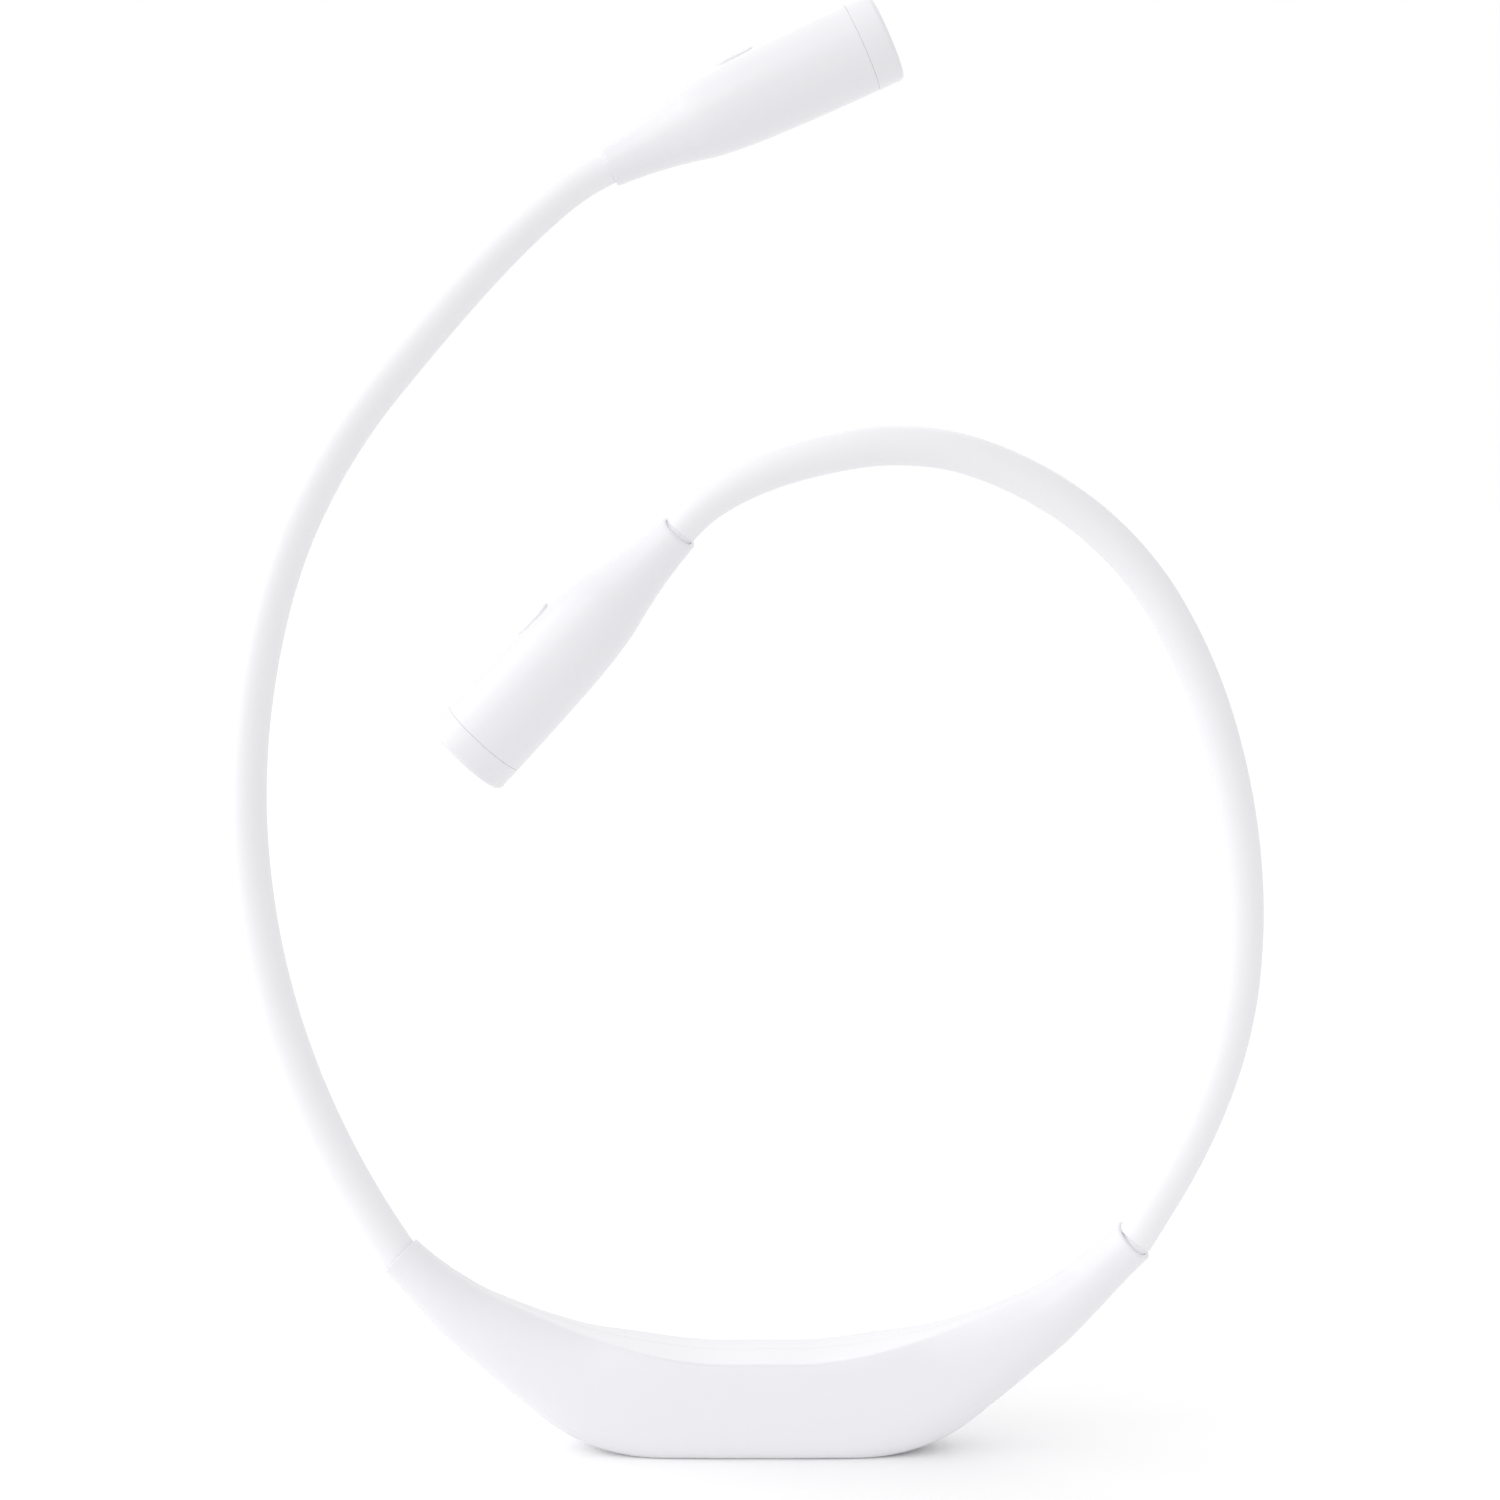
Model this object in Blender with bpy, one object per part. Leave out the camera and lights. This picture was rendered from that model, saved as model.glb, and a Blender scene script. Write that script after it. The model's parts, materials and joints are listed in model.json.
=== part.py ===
"""Neck reading light: a crescent housing with a bendable arm and a lamp head at each end.

It stands on the flat outer edge of the housing, with the arms rising from its two collars.
Metres, +Z up, +X along the housing, +Y away from the plain front face. The origin is the middle
of the flat edge. Left is -X and right is +X.
"""

import math

import bmesh
import bpy
from mathutils import Matrix, Vector

MM = 0.001

# Clearances and cutting
GAP = 0.3 * MM
HALF_GAP = GAP / 2
OVERRUN = 1.0 * MM
WELD = 0.001 * MM
BITE = 0.6 * MM

# Steel gooseneck with its wire, in a silicone sleeve
WIRE_RADIUS = 0.8 * MM
WIRE_CLEARANCE = 0.45 * MM
CORE_BORE_RADIUS = WIRE_RADIUS + WIRE_CLEARANCE
CORE_RADIUS = 2.45 * MM
CHANNEL_CLEARANCE = 0.5 * MM
CHANNEL_RADIUS = CORE_RADIUS + CHANNEL_CLEARANCE
SLEEVE_CLEARANCE = 0.35 * MM
SLEEVE_BORE_RADIUS = CORE_RADIUS + SLEEVE_CLEARANCE
SLEEVE_WALL = 1.0 * MM
SLEEVE_RADIUS = SLEEVE_BORE_RADIUS + SLEEVE_WALL
SLEEVE_TIP_WALL = 0.5 * MM
SLEEVE_TIP_RADIUS = SLEEVE_BORE_RADIUS + SLEEVE_TIP_WALL
SLEEVE_TAPER_SHARE = 0.84
SOCKET_RADIUS = SLEEVE_RADIUS + GAP
CORE_REACH = 1.5 * MM
WIRE_REACH = 2.0 * CORE_REACH
CORE_START = SOCKET_RADIUS + GAP
ARM_LENGTH = 261.6 * MM
ARM_STEP = 8.0 * MM
RECESS_DEPTH = 1.4 * MM
LIP_WALL = 0.45 * MM
SLEEVE_SIDES = 12
CORE_SIDES = 8
WIRE_SIDES = 6

# Battery, a lithium cell of 14 mm by 50 mm
CELL_RADIUS = 7.0 * MM
CELL_LENGTH = 50.0 * MM
CELL_SIDE_CLEARANCE = 0.4 * MM
CELL_LIFT = 0.8 * MM
CELL_HEADROOM = 2.0 * MM
CELL_TERMINAL_RADIUS = 2.8 * MM
CELL_TERMINAL_HEIGHT = 1.2 * MM

# Charging board
BOARD_LENGTH = 14.5 * MM
BOARD_WIDTH = 11.0 * MM
BOARD_THICKNESS = 1.0 * MM
BOARD_HEIGHT = 13.0 * MM
BOARD_FROM_CELL = 3.0 * MM
POST_WIDTH = 2.4 * MM

# Crescent housing
HOUSING_WALL = 1.6 * MM
COLLAR_RADIUS = SLEEVE_RADIUS + GAP + LIP_WALL
HOUSING_DEPTH = 2 * (CELL_RADIUS + CELL_SIDE_CLEARANCE + HOUSING_WALL)
HOUSING_HEIGHT = 2 * (CELL_RADIUS + HOUSING_WALL) + CELL_LIFT + CELL_HEADROOM
SHOULDER_LENGTH = 23.4 * MM
HOUSING_HALF_SPAN = CELL_LENGTH / 2 + BOARD_FROM_CELL + BOARD_LENGTH + SHOULDER_LENGTH
HOUSING_RISE = 23.3 * MM
COLLAR_ANGLE = math.radians(44)
LEFT_COLLAR_LENGTH = 10.0 * MM
RIGHT_COLLAR_LENGTH = 14.4 * MM
SEAM_SET_BACK = 2.0 * MM
CELL_HEIGHT = HOUSING_WALL + CELL_LIFT + CELL_RADIUS

# Half of the crescent, from its middle to the root of a collar: shares of the half span and the
# rise, then how far height and depth are above the collar's, then the width of the flat strip and
# how square the section is, for its upper and its lower half
CRESCENT_SHARES = (
    (0.000, 0.000, 1.00, 1.00, 0.93, 11.0, 0.81, 7.0),
    (0.180, 0.002, 1.02, 1.00, 0.92, 10.5, 0.78, 7.0),
    (0.364, 0.032, 1.20, 0.98, 0.86, 8.0, 0.66, 6.0),
    (0.516, 0.137, 1.16, 0.90, 0.72, 5.0, 0.48, 4.8),
    (0.659, 0.341, 0.85, 0.70, 0.54, 3.4, 0.28, 3.8),
    (0.790, 0.562, 0.56, 0.48, 0.38, 2.7, 0.17, 3.0),
    (0.898, 0.761, 0.34, 0.28, 0.24, 2.3, 0.15, 2.5),
    (1.000, 1.000, 0.13, 0.11, 0.15, 2.0, 0.15, 2.05),
)
COLLAR_STOP_SHARES = (0.25, 0.55)
COLLAR_TAPER_SHARE = 0.85
TAPER_POWER = 1.5
QUARTER_STEPS = 4
SPAN_STEPS = 2
FINE_SPAN_STEPS = 16
ROUND_SECTION = 2.0

# Cradle ribs, screws and their bosses
RIB_THICKNESS = 1.6 * MM
RIB_PLACE_SHARE = 0.72
RIB_HEIGHT = 6.0 * MM
SCREW_PLACE_SHARE = 0.713
SCREW_RADIUS = 1.0 * MM
SCREW_HEAD_RADIUS = 1.9 * MM
SCREW_HEAD_HEIGHT = 1.4 * MM
SCREW_SEAT = 3.9 * MM
SCREW_DEPTH = 4.0 * MM
HEX_RADIUS = 0.9 * MM
HEX_DEPTH = 0.8 * MM
BOSS_WALL = 1.3 * MM
SCREW_SIDES = 16

# Charging socket and charge light
PORT_WIDTH = 8.9 * MM
PORT_HEIGHT = 3.3 * MM
PORT_LENGTH = 7.3 * MM
PORT_WALL = 0.3 * MM
PORT_TONGUE_WIDTH = 6.7 * MM
PORT_TONGUE_THICKNESS = 0.7 * MM
PORT_BACK_WALL = 1.2 * MM
PORT_TONGUE_SET_BACK = 1.0 * MM
PORT_FROM_FACE = 0.4 * MM
PIPE_RADIUS = 1.0 * MM
PIPE_LENGTH = 3.4 * MM
PIPE_FROM_PORT = 1.9 * MM
PIPE_PROUD = 0.1 * MM

# Anchor ferrules on the gooseneck's ends
FERRULE_BORE_RADIUS = CORE_RADIUS + GAP
FERRULE_WALL = 0.6 * MM
FERRULE_RADIUS = FERRULE_BORE_RADIUS + FERRULE_WALL
FERRULE_LENGTH = 5.0 * MM
ANCHOR_FROM_ROOT = 1.5 * MM

# Lamp head
HEAD_LENGTH = 61.0 * MM
HEAD_RADIUS = 9.2 * MM
HEAD_OFFSET = 0.6 * MM
HEAD_OFFSET_LENGTH = 24.0 * MM
NECK_RADIUS = SLEEVE_TIP_RADIUS + GAP + LIP_WALL
BARREL_WALL = 1.3 * MM
NECK_BLOCK_LENGTH = 12.5 * MM
BEZEL_LENGTH = 5.5 * MM
BEZEL_WALL = 0.6 * MM
BEZEL_LIP = 1.3 * MM
BEZEL_EDGE = 0.4 * MM
SPIGOT_LENGTH = 2.8 * MM
SPIGOT_WALL = 0.7 * MM
LENS_THICKNESS = 0.8 * MM
LENS_DOME = 0.9 * MM
REFLECTOR_LENGTH = 8.4 * MM
REFLECTOR_WALL = 0.7 * MM
REFLECTOR_HOLE_RADIUS = 2.5 * MM
LED_BOARD_THICKNESS = 1.2 * MM
LED_WIDTH = 3.0 * MM
LED_HEIGHT = 0.9 * MM
SHOULDER_STEP = 0.7 * MM
SHOULDER_THICKNESS = 1.5 * MM
HEAD_SIDES = 24
SMALL_SIDES = 16
HEAD_OUTLINE_SHARES = (
    (0.0, 0.0),
    (0.131, 0.165),
    (0.262, 0.476),
    (0.345, 0.709),
    (0.475, 0.874),
    (0.62, 0.942),
    (0.77, 0.98),
    (1.0, 1.0),
)
OUTLINE_STEPS = 8
BARREL_STOP_SHARES = (0.0, 0.07, 0.13, 0.20, 0.26, 0.30, 0.345, 0.40, 0.475, 0.62)
BORE_STOP_SHARES = (0.525, 0.42, 0.345, 0.26)
LENS_DOME_SHARE = 0.72

# Switch in the head
BUTTON_LENGTH = 8.3 * MM
BUTTON_WIDTH = 5.0 * MM
BUTTON_PROUD = 0.4 * MM
BUTTON_TRAVEL = 0.5 * MM
BUTTON_FLANGE = 0.65 * MM
BUTTON_FLANGE_THICKNESS = 0.5 * MM
BUTTON_CLEARANCE = 0.25 * MM
FLANGE_FROM_WALL = 1.2 * MM
SWITCH_STOP = 0.1 * MM
SWITCH_WIDTH = 5.0 * MM
SWITCH_HEIGHT = 1.9 * MM
SWITCH_BOARD_LENGTH = 13.0 * MM
SWITCH_BOARD_WIDTH = 12.0 * MM
SWITCH_BOARD_THICKNESS = 0.8 * MM

# How the arms are bent in the photograph: the heading up from +X at shares of the free length,
# the heading of each lamp head, and how far it stands back from the housing
BEND_SHARES = (0.0, 0.05, 0.15, 0.25, 0.35, 0.45, 0.55, 0.65, 0.75, 0.85, 0.95, 1.0)
LEFT_ARM_DEGREES = (124, 120.5, 112.5, 103.5, 94.5, 84.5, 75.5, 62.5, 50.5, 47, 40, 27)
RIGHT_ARM_DEGREES = (59, 60, 72, 87, 98, 108, 121, 142, 161.5, 194, 207, 218.5)
LEFT_ARM_ANGLES = tuple(map(math.radians, LEFT_ARM_DEGREES))
RIGHT_ARM_ANGLES = tuple(map(math.radians, RIGHT_ARM_DEGREES))
LEFT_HEAD_ANGLE = math.radians(24.5)
RIGHT_HEAD_ANGLE = math.radians(227)
LEFT_SET_BACK = 14.0 * MM
RIGHT_SET_BACK = -12.0 * MM
WALK_STEPS = 250

# Where each arm bends when it is posed, as shares of its free length, and how each bend turns:
# in the plane of the loop or out of it
BENDS = (
    ("root", 0.10, "in_plane"),
    ("lower", 0.36, "out_of_plane"),
    ("upper", 0.62, "in_plane"),
    ("neck", 0.89, "out_of_plane"),
)
STRETCHES = ("root", "lower", "middle", "upper", "tip")

# Leads inside the housing, from the board to each anchor: shares of the half span, the depth and
# the height of the housing
LEFT_LEAD_SHARES = (
    (0.480, -0.17, 0.735),
    (0.465, -0.20, 0.82),
    (0.400, -0.27, 0.87),
    (0.000, -0.285, 0.855),
    (-0.400, -0.27, 0.87),
    (-0.520, -0.18, 0.97),
    (-0.665, -0.08, 1.23),
    (-0.740, -0.03, 1.32),
    (-0.810, 0.0, 1.32),
)
RIGHT_LEAD_SHARES = (
    (0.570, -0.17, 0.715),
    (0.570, -0.17, 0.86),
    (0.600, -0.14, 1.06),
    (0.665, -0.08, 1.23),
    (0.740, -0.03, 1.32),
    (0.810, 0.0, 1.32),
)
LEAD_STEPS = 6

DEPTH_AXIS = Vector((0, 1, 0))


def clear_scene():
    for thing in list(bpy.data.objects):
        bpy.data.objects.remove(thing, do_unlink=True)


def finish(name, colour, roughness, metallic=0.0):
    material = bpy.data.materials.new(name)
    material.use_nodes = True
    shader = material.node_tree.nodes["Principled BSDF"]
    shader.inputs["Base Color"].default_value = (*colour, 1.0)
    shader.inputs["Roughness"].default_value = roughness
    shader.inputs["Metallic"].default_value = metallic
    return material


def mix(a, b, share):
    return a + (b - a) * share


def ease(t):
    return t * t * (3 - 2 * t)


def curve_through(rows, steps):
    """Rows of numbers read along a Catmull-Rom curve, with the given steps between rows."""
    rows = [Vector(row) for row in rows]
    ends = [2 * rows[0] - rows[1]] + rows + [2 * rows[-1] - rows[-2]]
    out = []
    for k in range(len(rows) - 1):
        a, b, c, d = ends[k : k + 4]
        for step in range(steps):
            t = step / steps
            bend = (2 * a - 5 * b + 4 * c - d) * t**2 + (3 * b - a - 3 * c + d) * t**3
            out.append((2 * b + (c - a) * t + bend) / 2)
    return out + [rows[-1]]


def grow(bm, ring, places):
    """Extrudes a closed ring of vertices and sets the new ring down on the given places."""
    edges = [bm.edges.get((ring[k - 1], ring[k])) for k in range(len(ring))]
    new = bmesh.ops.extrude_edge_only(bm, edges=edges)["geom"]
    fresh = {v for v in new if isinstance(v, bmesh.types.BMVert)}
    following = []
    for v in ring:
        following.append(next(e.other_vert(v) for e in v.link_edges if e.other_vert(v) in fresh))
    for v, place in zip(following, places):
        v.co = place
    return following


def first_ring(bm, places):
    ring = [bm.verts.new(place) for place in places]
    for k in range(len(ring)):
        bm.edges.new((ring[k - 1], ring[k]))
    return ring


def lofted(rings):
    """A solid bar through rings of points, with a face over each end."""
    bm = bmesh.new()
    start = first_ring(bm, rings[0])
    end = start
    for places in rings[1:]:
        end = grow(bm, end, places)
    bm.faces.new(start)
    bm.faces.new(end)
    bmesh.ops.recalc_face_normals(bm, faces=bm.faces)
    return bm


def lofted_tube(rings):
    """A tube whose rings run up its outside and back down its bore to where they began."""
    bm = bmesh.new()
    ring = first_ring(bm, rings[0])
    for places in rings[1:] + rings[:1]:
        ring = grow(bm, ring, places)
    bmesh.ops.remove_doubles(bm, verts=bm.verts, dist=WELD)
    bmesh.ops.recalc_face_normals(bm, faces=bm.faces)
    return bm


def turned(profile, sides, closed=True):
    """Spins a profile of (distance along X, radius) points round the X axis."""
    bm = bmesh.new()
    verts = [bm.verts.new((along, radius, 0)) for along, radius in profile]
    count = len(verts) if closed else len(verts) - 1
    edges = [bm.edges.new((verts[k], verts[(k + 1) % len(verts)])) for k in range(count)]
    turn = {"axis": (1, 0, 0), "cent": (0, 0, 0), "angle": math.tau, "use_merge": True}
    bmesh.ops.spin(bm, geom=verts + edges, steps=sides, **turn)
    bmesh.ops.remove_doubles(bm, verts=bm.verts, dist=WELD)
    bmesh.ops.recalc_face_normals(bm, faces=bm.faces)
    return bm


def block(low, high):
    bm = bmesh.new()
    low, high = Vector(low), Vector(high)
    place = Matrix.Translation((low + high) / 2) @ Matrix.Diagonal((*(high - low), 1))
    bmesh.ops.create_cube(bm, size=1, matrix=place)
    return bm


def rod(start, end, radius, sides):
    """A plain round bar between two points."""
    bm = bmesh.new()
    start, end = Vector(start), Vector(end)
    along = end - start
    turn = along.to_track_quat("Z", "Y").to_matrix().to_4x4()
    place = Matrix.Translation((start + end) / 2) @ turn
    bmesh.ops.create_cone(
        bm, cap_ends=True, segments=sides, radius1=radius, radius2=radius, depth=along.length, matrix=place
    )
    return bm


def oval_bar(length, width, low, high, centre):
    """A bar along Z with round ends, long in X."""
    bm = bmesh.new()
    radius = width / 2
    reach = length / 2 - radius
    points = []
    for k in range(SMALL_SIDES + 2):
        half = -1 if k <= SMALL_SIDES // 2 else 1
        angle = math.pi / 2 + math.pi * (k if half < 0 else k - 1) / (SMALL_SIDES / 2)
        along = centre + half * reach + radius * math.cos(angle)
        points.append(Vector((along, radius * math.sin(angle), low)))
    ring = first_ring(bm, points)
    end = grow(bm, ring, [Vector((p.x, p.y, high)) for p in points])
    bm.faces.new(ring)
    bm.faces.new(end)
    bmesh.ops.recalc_face_normals(bm, faces=bm.faces)
    return bm


def place_on(bm, matrix):
    bmesh.ops.transform(bm, matrix=matrix, verts=bm.verts)
    return bm


class Pivot:
    """An empty on a joint's axis, which carries the pieces that turn or slide there."""

    def __init__(self, name, place, parent=None):
        self.place = Vector(place)
        self.empty = bpy.data.objects.new(name, None)
        bpy.context.scene.collection.objects.link(self.empty)
        if parent:
            self.empty.parent = parent.empty
        self.empty.location = self.place - (parent.place if parent else Vector())


def piece(name, bm, material, pivot):
    """Makes an object from a mesh in world space, with its origin on its pivot."""
    bmesh.ops.translate(bm, vec=-pivot.place, verts=bm.verts)
    mesh = bpy.data.meshes.new(name)
    bm.to_mesh(mesh)
    bm.free()
    mesh.shade_smooth()
    mesh.set_sharp_from_angle(angle=math.radians(40))
    thing = bpy.data.objects.new(name, mesh)
    bpy.context.scene.collection.objects.link(thing)
    thing.data.materials.append(material)
    thing.parent = pivot.empty
    return thing


def shape(thing, operation, bm, pivot):
    """Adds a mesh to a piece, or cuts it out, with a Boolean modifier."""
    name = f"{thing.name}_{operation.lower()}_{len(thing.modifiers)}"
    bmesh.ops.translate(bm, vec=-pivot.place, verts=bm.verts)
    mesh = bpy.data.meshes.new(name)
    bm.to_mesh(mesh)
    bm.free()
    tool = bpy.data.objects.new(name, mesh)
    bpy.context.scene.collection.objects.link(tool)
    tool.parent = pivot.empty
    tool.hide_render = True
    tool.display_type = "WIRE"
    modifier = thing.modifiers.new(name, "BOOLEAN")
    modifier.operation = operation
    modifier.object = tool


class Station:
    """A cross-section of the crescent: its centre, its direction and its sizes."""

    def __init__(self, row):
        self.span_share, rise_share, tall, deep = row[:4]
        self.above, self.below = row[4:6], row[6:8]
        height = HOUSING_HEIGHT / 2 + rise_share * HOUSING_RISE
        self.centre = Vector((self.span_share * HOUSING_HALF_SPAN, 0, height))
        self.half_height = mix(COLLAR_RADIUS, HOUSING_HEIGHT / 2, tall)
        self.half_depth = mix(COLLAR_RADIUS, HOUSING_DEPTH / 2, deep)
        self.wall = HOUSING_WALL
        self.seam = SEAM_SET_BACK * max(0.0, 1 - self.span_share**2) ** 2
        self.along = Vector((1, 0, 0))
        self.bore = None

    def point(self, across, up):
        rise = DEPTH_AXIS.cross(self.along)
        return self.centre + DEPTH_AXIS * across - rise * up


def mirrored_rows():
    half = [list(row) for row in CRESCENT_SHARES]
    left = [[-row[0]] + row[1:] for row in half[:0:-1]]
    return left + half


def collar_stations(root, side, length):
    """The collar beyond a root: it tapers to a round mouth, recessed for the sleeve."""
    way = Vector((side * math.cos(COLLAR_ANGLE), 0, math.sin(COLLAR_ANGLE)))
    recess = SLEEVE_RADIUS + GAP
    steps = [(length * share, CHANNEL_RADIUS) for share in COLLAR_STOP_SHARES]
    steps += [
        (length - RECESS_DEPTH, CHANNEL_RADIUS),
        (length - RECESS_DEPTH + HALF_GAP, recess),
        (length, recess),
    ]
    _, _, tall, deep, *form = CRESCENT_SHARES[-1]
    out = []
    for distance, bore in steps:
        swell = max(0.0, 1 - distance / (COLLAR_TAPER_SHARE * length)) ** TAPER_POWER
        station = Station((side, 1.0, tall * swell, deep * swell, *form))
        station.centre = root.centre + way * distance
        station.bore = bore
        out.append(station)
    return out


def housing_stations():
    """Every cross-section, from the mouth of the left collar to that of the right."""
    middle = [Station(row) for row in curve_through(mirrored_rows(), SPAN_STEPS)]
    left = collar_stations(middle[0], -1, LEFT_COLLAR_LENGTH)
    right = collar_stations(middle[-1], 1, RIGHT_COLLAR_LENGTH)
    stations = left[::-1] + middle + right
    for k, station in enumerate(stations):
        before = stations[max(k - 1, 0)].centre
        after = stations[min(k + 1, len(stations) - 1)].centre
        station.along = (after - before).normalized()
    return stations


def station_at(share):
    """The crescent's cross-section at a share of the half span, for what is fixed inside it."""
    rows = curve_through(mirrored_rows(), FINE_SPAN_STEPS)
    nearest = min(range(1, len(rows) - 1), key=lambda k: abs(rows[k][0] - share))
    station = Station(rows[nearest])
    station.along = (Station(rows[nearest + 1]).centre - Station(rows[nearest - 1]).centre).normalized()
    return station


def half_outline(station, side, half_height, half_depth, floor, round_bore=False):
    """Half of a section, from the seam at the top round to the seam at the bottom."""
    seam = station.seam + side * HALF_GAP
    quarters = []
    for strip, square in (station.above, station.below):
        square = ROUND_SECTION if round_bore else square
        tallest = half_height / (1 - strip**square) ** (1 / square)
        start = math.acos(strip ** (square / 2))
        quarter = []
        for k in range(QUARTER_STEPS):
            angle = start * (1 - k / QUARTER_STEPS)
            across = half_depth * math.cos(angle) ** (2 / square)
            quarter.append((side * across, tallest * math.sin(angle) ** (2 / square)))
        quarters.append(quarter)
    above, below = quarters
    flat = [(seam, half_height)] + above + [(side * half_depth, 0.0)]
    flat += [(across, -up) for across, up in reversed(below)] + [(seam, -half_height)]
    places = [station.point(across, up) for across, up in flat]
    for place in places:
        place.z = max(place.z, floor)
    return places


def shell_rings(stations, side):
    rings = []
    for station in stations:
        outside = half_outline(station, side, station.half_height, station.half_depth, 0.0)
        if station.bore:
            inside = half_outline(station, side, station.bore, station.bore, 0.0, True)
        else:
            inner_height = station.half_height - station.wall
            inner_depth = station.half_depth - station.wall
            inside = half_outline(station, side, inner_height, inner_depth, station.wall)
        rings.append(outside + inside[::-1])
    return rings


class Route:
    """A line through close points, read by the distance along it."""

    def __init__(self, points):
        self.points = [points[0]]
        self.distances = [0.0]
        for point in points[1:]:
            step = (point - self.points[-1]).length
            if step > WELD:
                self.distances.append(self.distances[-1] + step)
                self.points.append(point)

    def point(self, distance):
        last = len(self.distances) - 2
        k = 0
        low, high = 0, last
        while low <= high:
            middle = (low + high) // 2
            if self.distances[middle] <= distance:
                k = middle
                low = middle + 1
            else:
                high = middle - 1
        share = (distance - self.distances[k]) / (self.distances[k + 1] - self.distances[k])
        return self.points[k].lerp(self.points[k + 1], share)

    def along(self, distance):
        low = max(distance - OVERRUN, 0.0)
        high = min(distance + OVERRUN, self.distances[-1])
        return (self.point(high) - self.point(low)).normalized()


def ring_at(centre, along, radius, sides):
    across = (DEPTH_AXIS - along * along.dot(DEPTH_AXIS)).normalized()
    other = along.cross(across)
    places = []
    for k in range(sides):
        angle = math.tau * (k + 0.5) / sides
        places.append(centre + (across * math.cos(angle) + other * math.sin(angle)) * radius)
    return places


def even_steps(start, end):
    count = max(1, math.ceil((end - start) / ARM_STEP))
    return [mix(start, end, k / count) for k in range(count + 1)]


def free_arm(mouth, length, headings, set_back):
    """The free part of an arm, walked along its headings from the mouth of its collar."""
    points = []
    place = Vector((mouth.x, 0, mouth.z))
    step = length / WALK_STEPS
    for k in range(WALK_STEPS + 1):
        share = k / WALK_STEPS
        points.append(place + DEPTH_AXIS * (mouth.y + set_back * ease(share)))
        after = min(share + 0.5 / WALK_STEPS, 1.0)
        span = max(n for n in range(len(BEND_SHARES) - 1) if BEND_SHARES[n] <= after)
        part = (after - BEND_SHARES[span]) / (BEND_SHARES[span + 1] - BEND_SHARES[span])
        heading = mix(headings[span], headings[span + 1], part)
        place = place + Vector((math.cos(heading), 0, math.sin(heading))) * step
    return points


class Arm:
    """One arm: its route from the board inside the housing to the board inside the lamp head."""

    def __init__(self, side, stations):
        right = side > 0
        self.name = "right" if right else "left"
        self.side = side
        headings = RIGHT_ARM_ANGLES if right else LEFT_ARM_ANGLES
        leads = RIGHT_LEAD_SHARES if right else LEFT_LEAD_SHARES
        spine = [s.centre for s in stations]
        spine = spine if right else spine[::-1]
        lead = [Vector((a * HOUSING_HALF_SPAN, b * HOUSING_DEPTH, c * HOUSING_HEIGHT)) for a, b, c in leads]
        outer = [p for p in spine if side * p.x > max(side * q.x for q in lead)]
        inside = curve_through(lead + outer, LEAD_STEPS)
        collar = RIGHT_COLLAR_LENGTH if right else LEFT_COLLAR_LENGTH
        self.free = ARM_LENGTH - collar
        free = free_arm(spine[-1], self.free, headings, RIGHT_SET_BACK if right else LEFT_SET_BACK)
        heading = RIGHT_HEAD_ANGLE if right else LEFT_HEAD_ANGLE
        self.head_along = Vector((math.cos(heading), 0, math.sin(heading)))
        self.neck = free[-1]
        whole = self.head_along * HEAD_LENGTH
        tail = [self.neck + whole * (k / WALK_STEPS) for k in range(1, WALK_STEPS + 1)]
        self.route = Route(inside + free[1:] + tail)
        self.mouth = Route(inside).distances[-1]
        self.root = self.mouth - collar
        self.tip = self.mouth + self.free
        self.bends = [self.mouth + share * self.free for _, share, _ in BENDS]

    def sleeve_radius(self, distance):
        share = (distance - self.mouth) / self.free
        part = min(max((share - SLEEVE_TAPER_SHARE) / (1 - SLEEVE_TAPER_SHARE), 0.0), 1.0)
        return mix(SLEEVE_RADIUS, SLEEVE_TIP_RADIUS, ease(part))

    def bar(self, start, end, radius_at, bore, sides):
        """A bar or tube along the route with square ends."""
        stops = even_steps(start, end)
        outer = [ring_at(self.route.point(d), self.route.along(d), radius_at(d), sides) for d in stops]
        if not bore:
            return lofted(outer)
        inner = [ring_at(self.route.point(d), self.route.along(d), bore, sides) for d in stops]
        return lofted_tube(outer + inner[::-1])

    def sleeve(self, start, end, socket, ball):
        """A stretch of sleeve: a hollow ball reaches past the bend at its end, and a round socket
        fits over the ball of the stretch before."""
        first = start
        last = end
        socket_rings = []
        ball_rings = []
        if socket is not None:
            radius = self.sleeve_radius(socket)
            reach = radius + GAP
            centre, along = self.route.point(socket), self.route.along(socket)
            rim, bore = math.asin(radius / reach), math.asin(SLEEVE_BORE_RADIUS / reach)
            for k in range(2, -1, -1):
                angle = mix(rim, bore, k / 2)
                place = centre + along * (reach * math.cos(angle))
                socket_rings.append(ring_at(place, along, reach * math.sin(angle), SLEEVE_SIDES))
            first = socket + reach + GAP
        if ball is not None:
            radius = self.sleeve_radius(ball)
            centre, along = self.route.point(ball), self.route.along(ball)
            bore = math.asin(SLEEVE_BORE_RADIUS / radius)
            for k in range(3):
                angle = mix(math.pi / 2, bore, k / 2)
                place = centre + along * (radius * math.cos(angle))
                ball_rings.append(ring_at(place, along, radius * math.sin(angle), SLEEVE_SIDES))
            last = ball - GAP
        outer = []
        inner = []
        for distance in even_steps(first, last):
            centre, along = self.route.point(distance), self.route.along(distance)
            outer.append(ring_at(centre, along, self.sleeve_radius(distance), SLEEVE_SIDES))
            inner.append(ring_at(centre, along, SLEEVE_BORE_RADIUS, SLEEVE_SIDES))
        return lofted_tube(socket_rings + outer + ball_rings + inner[::-1])


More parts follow.
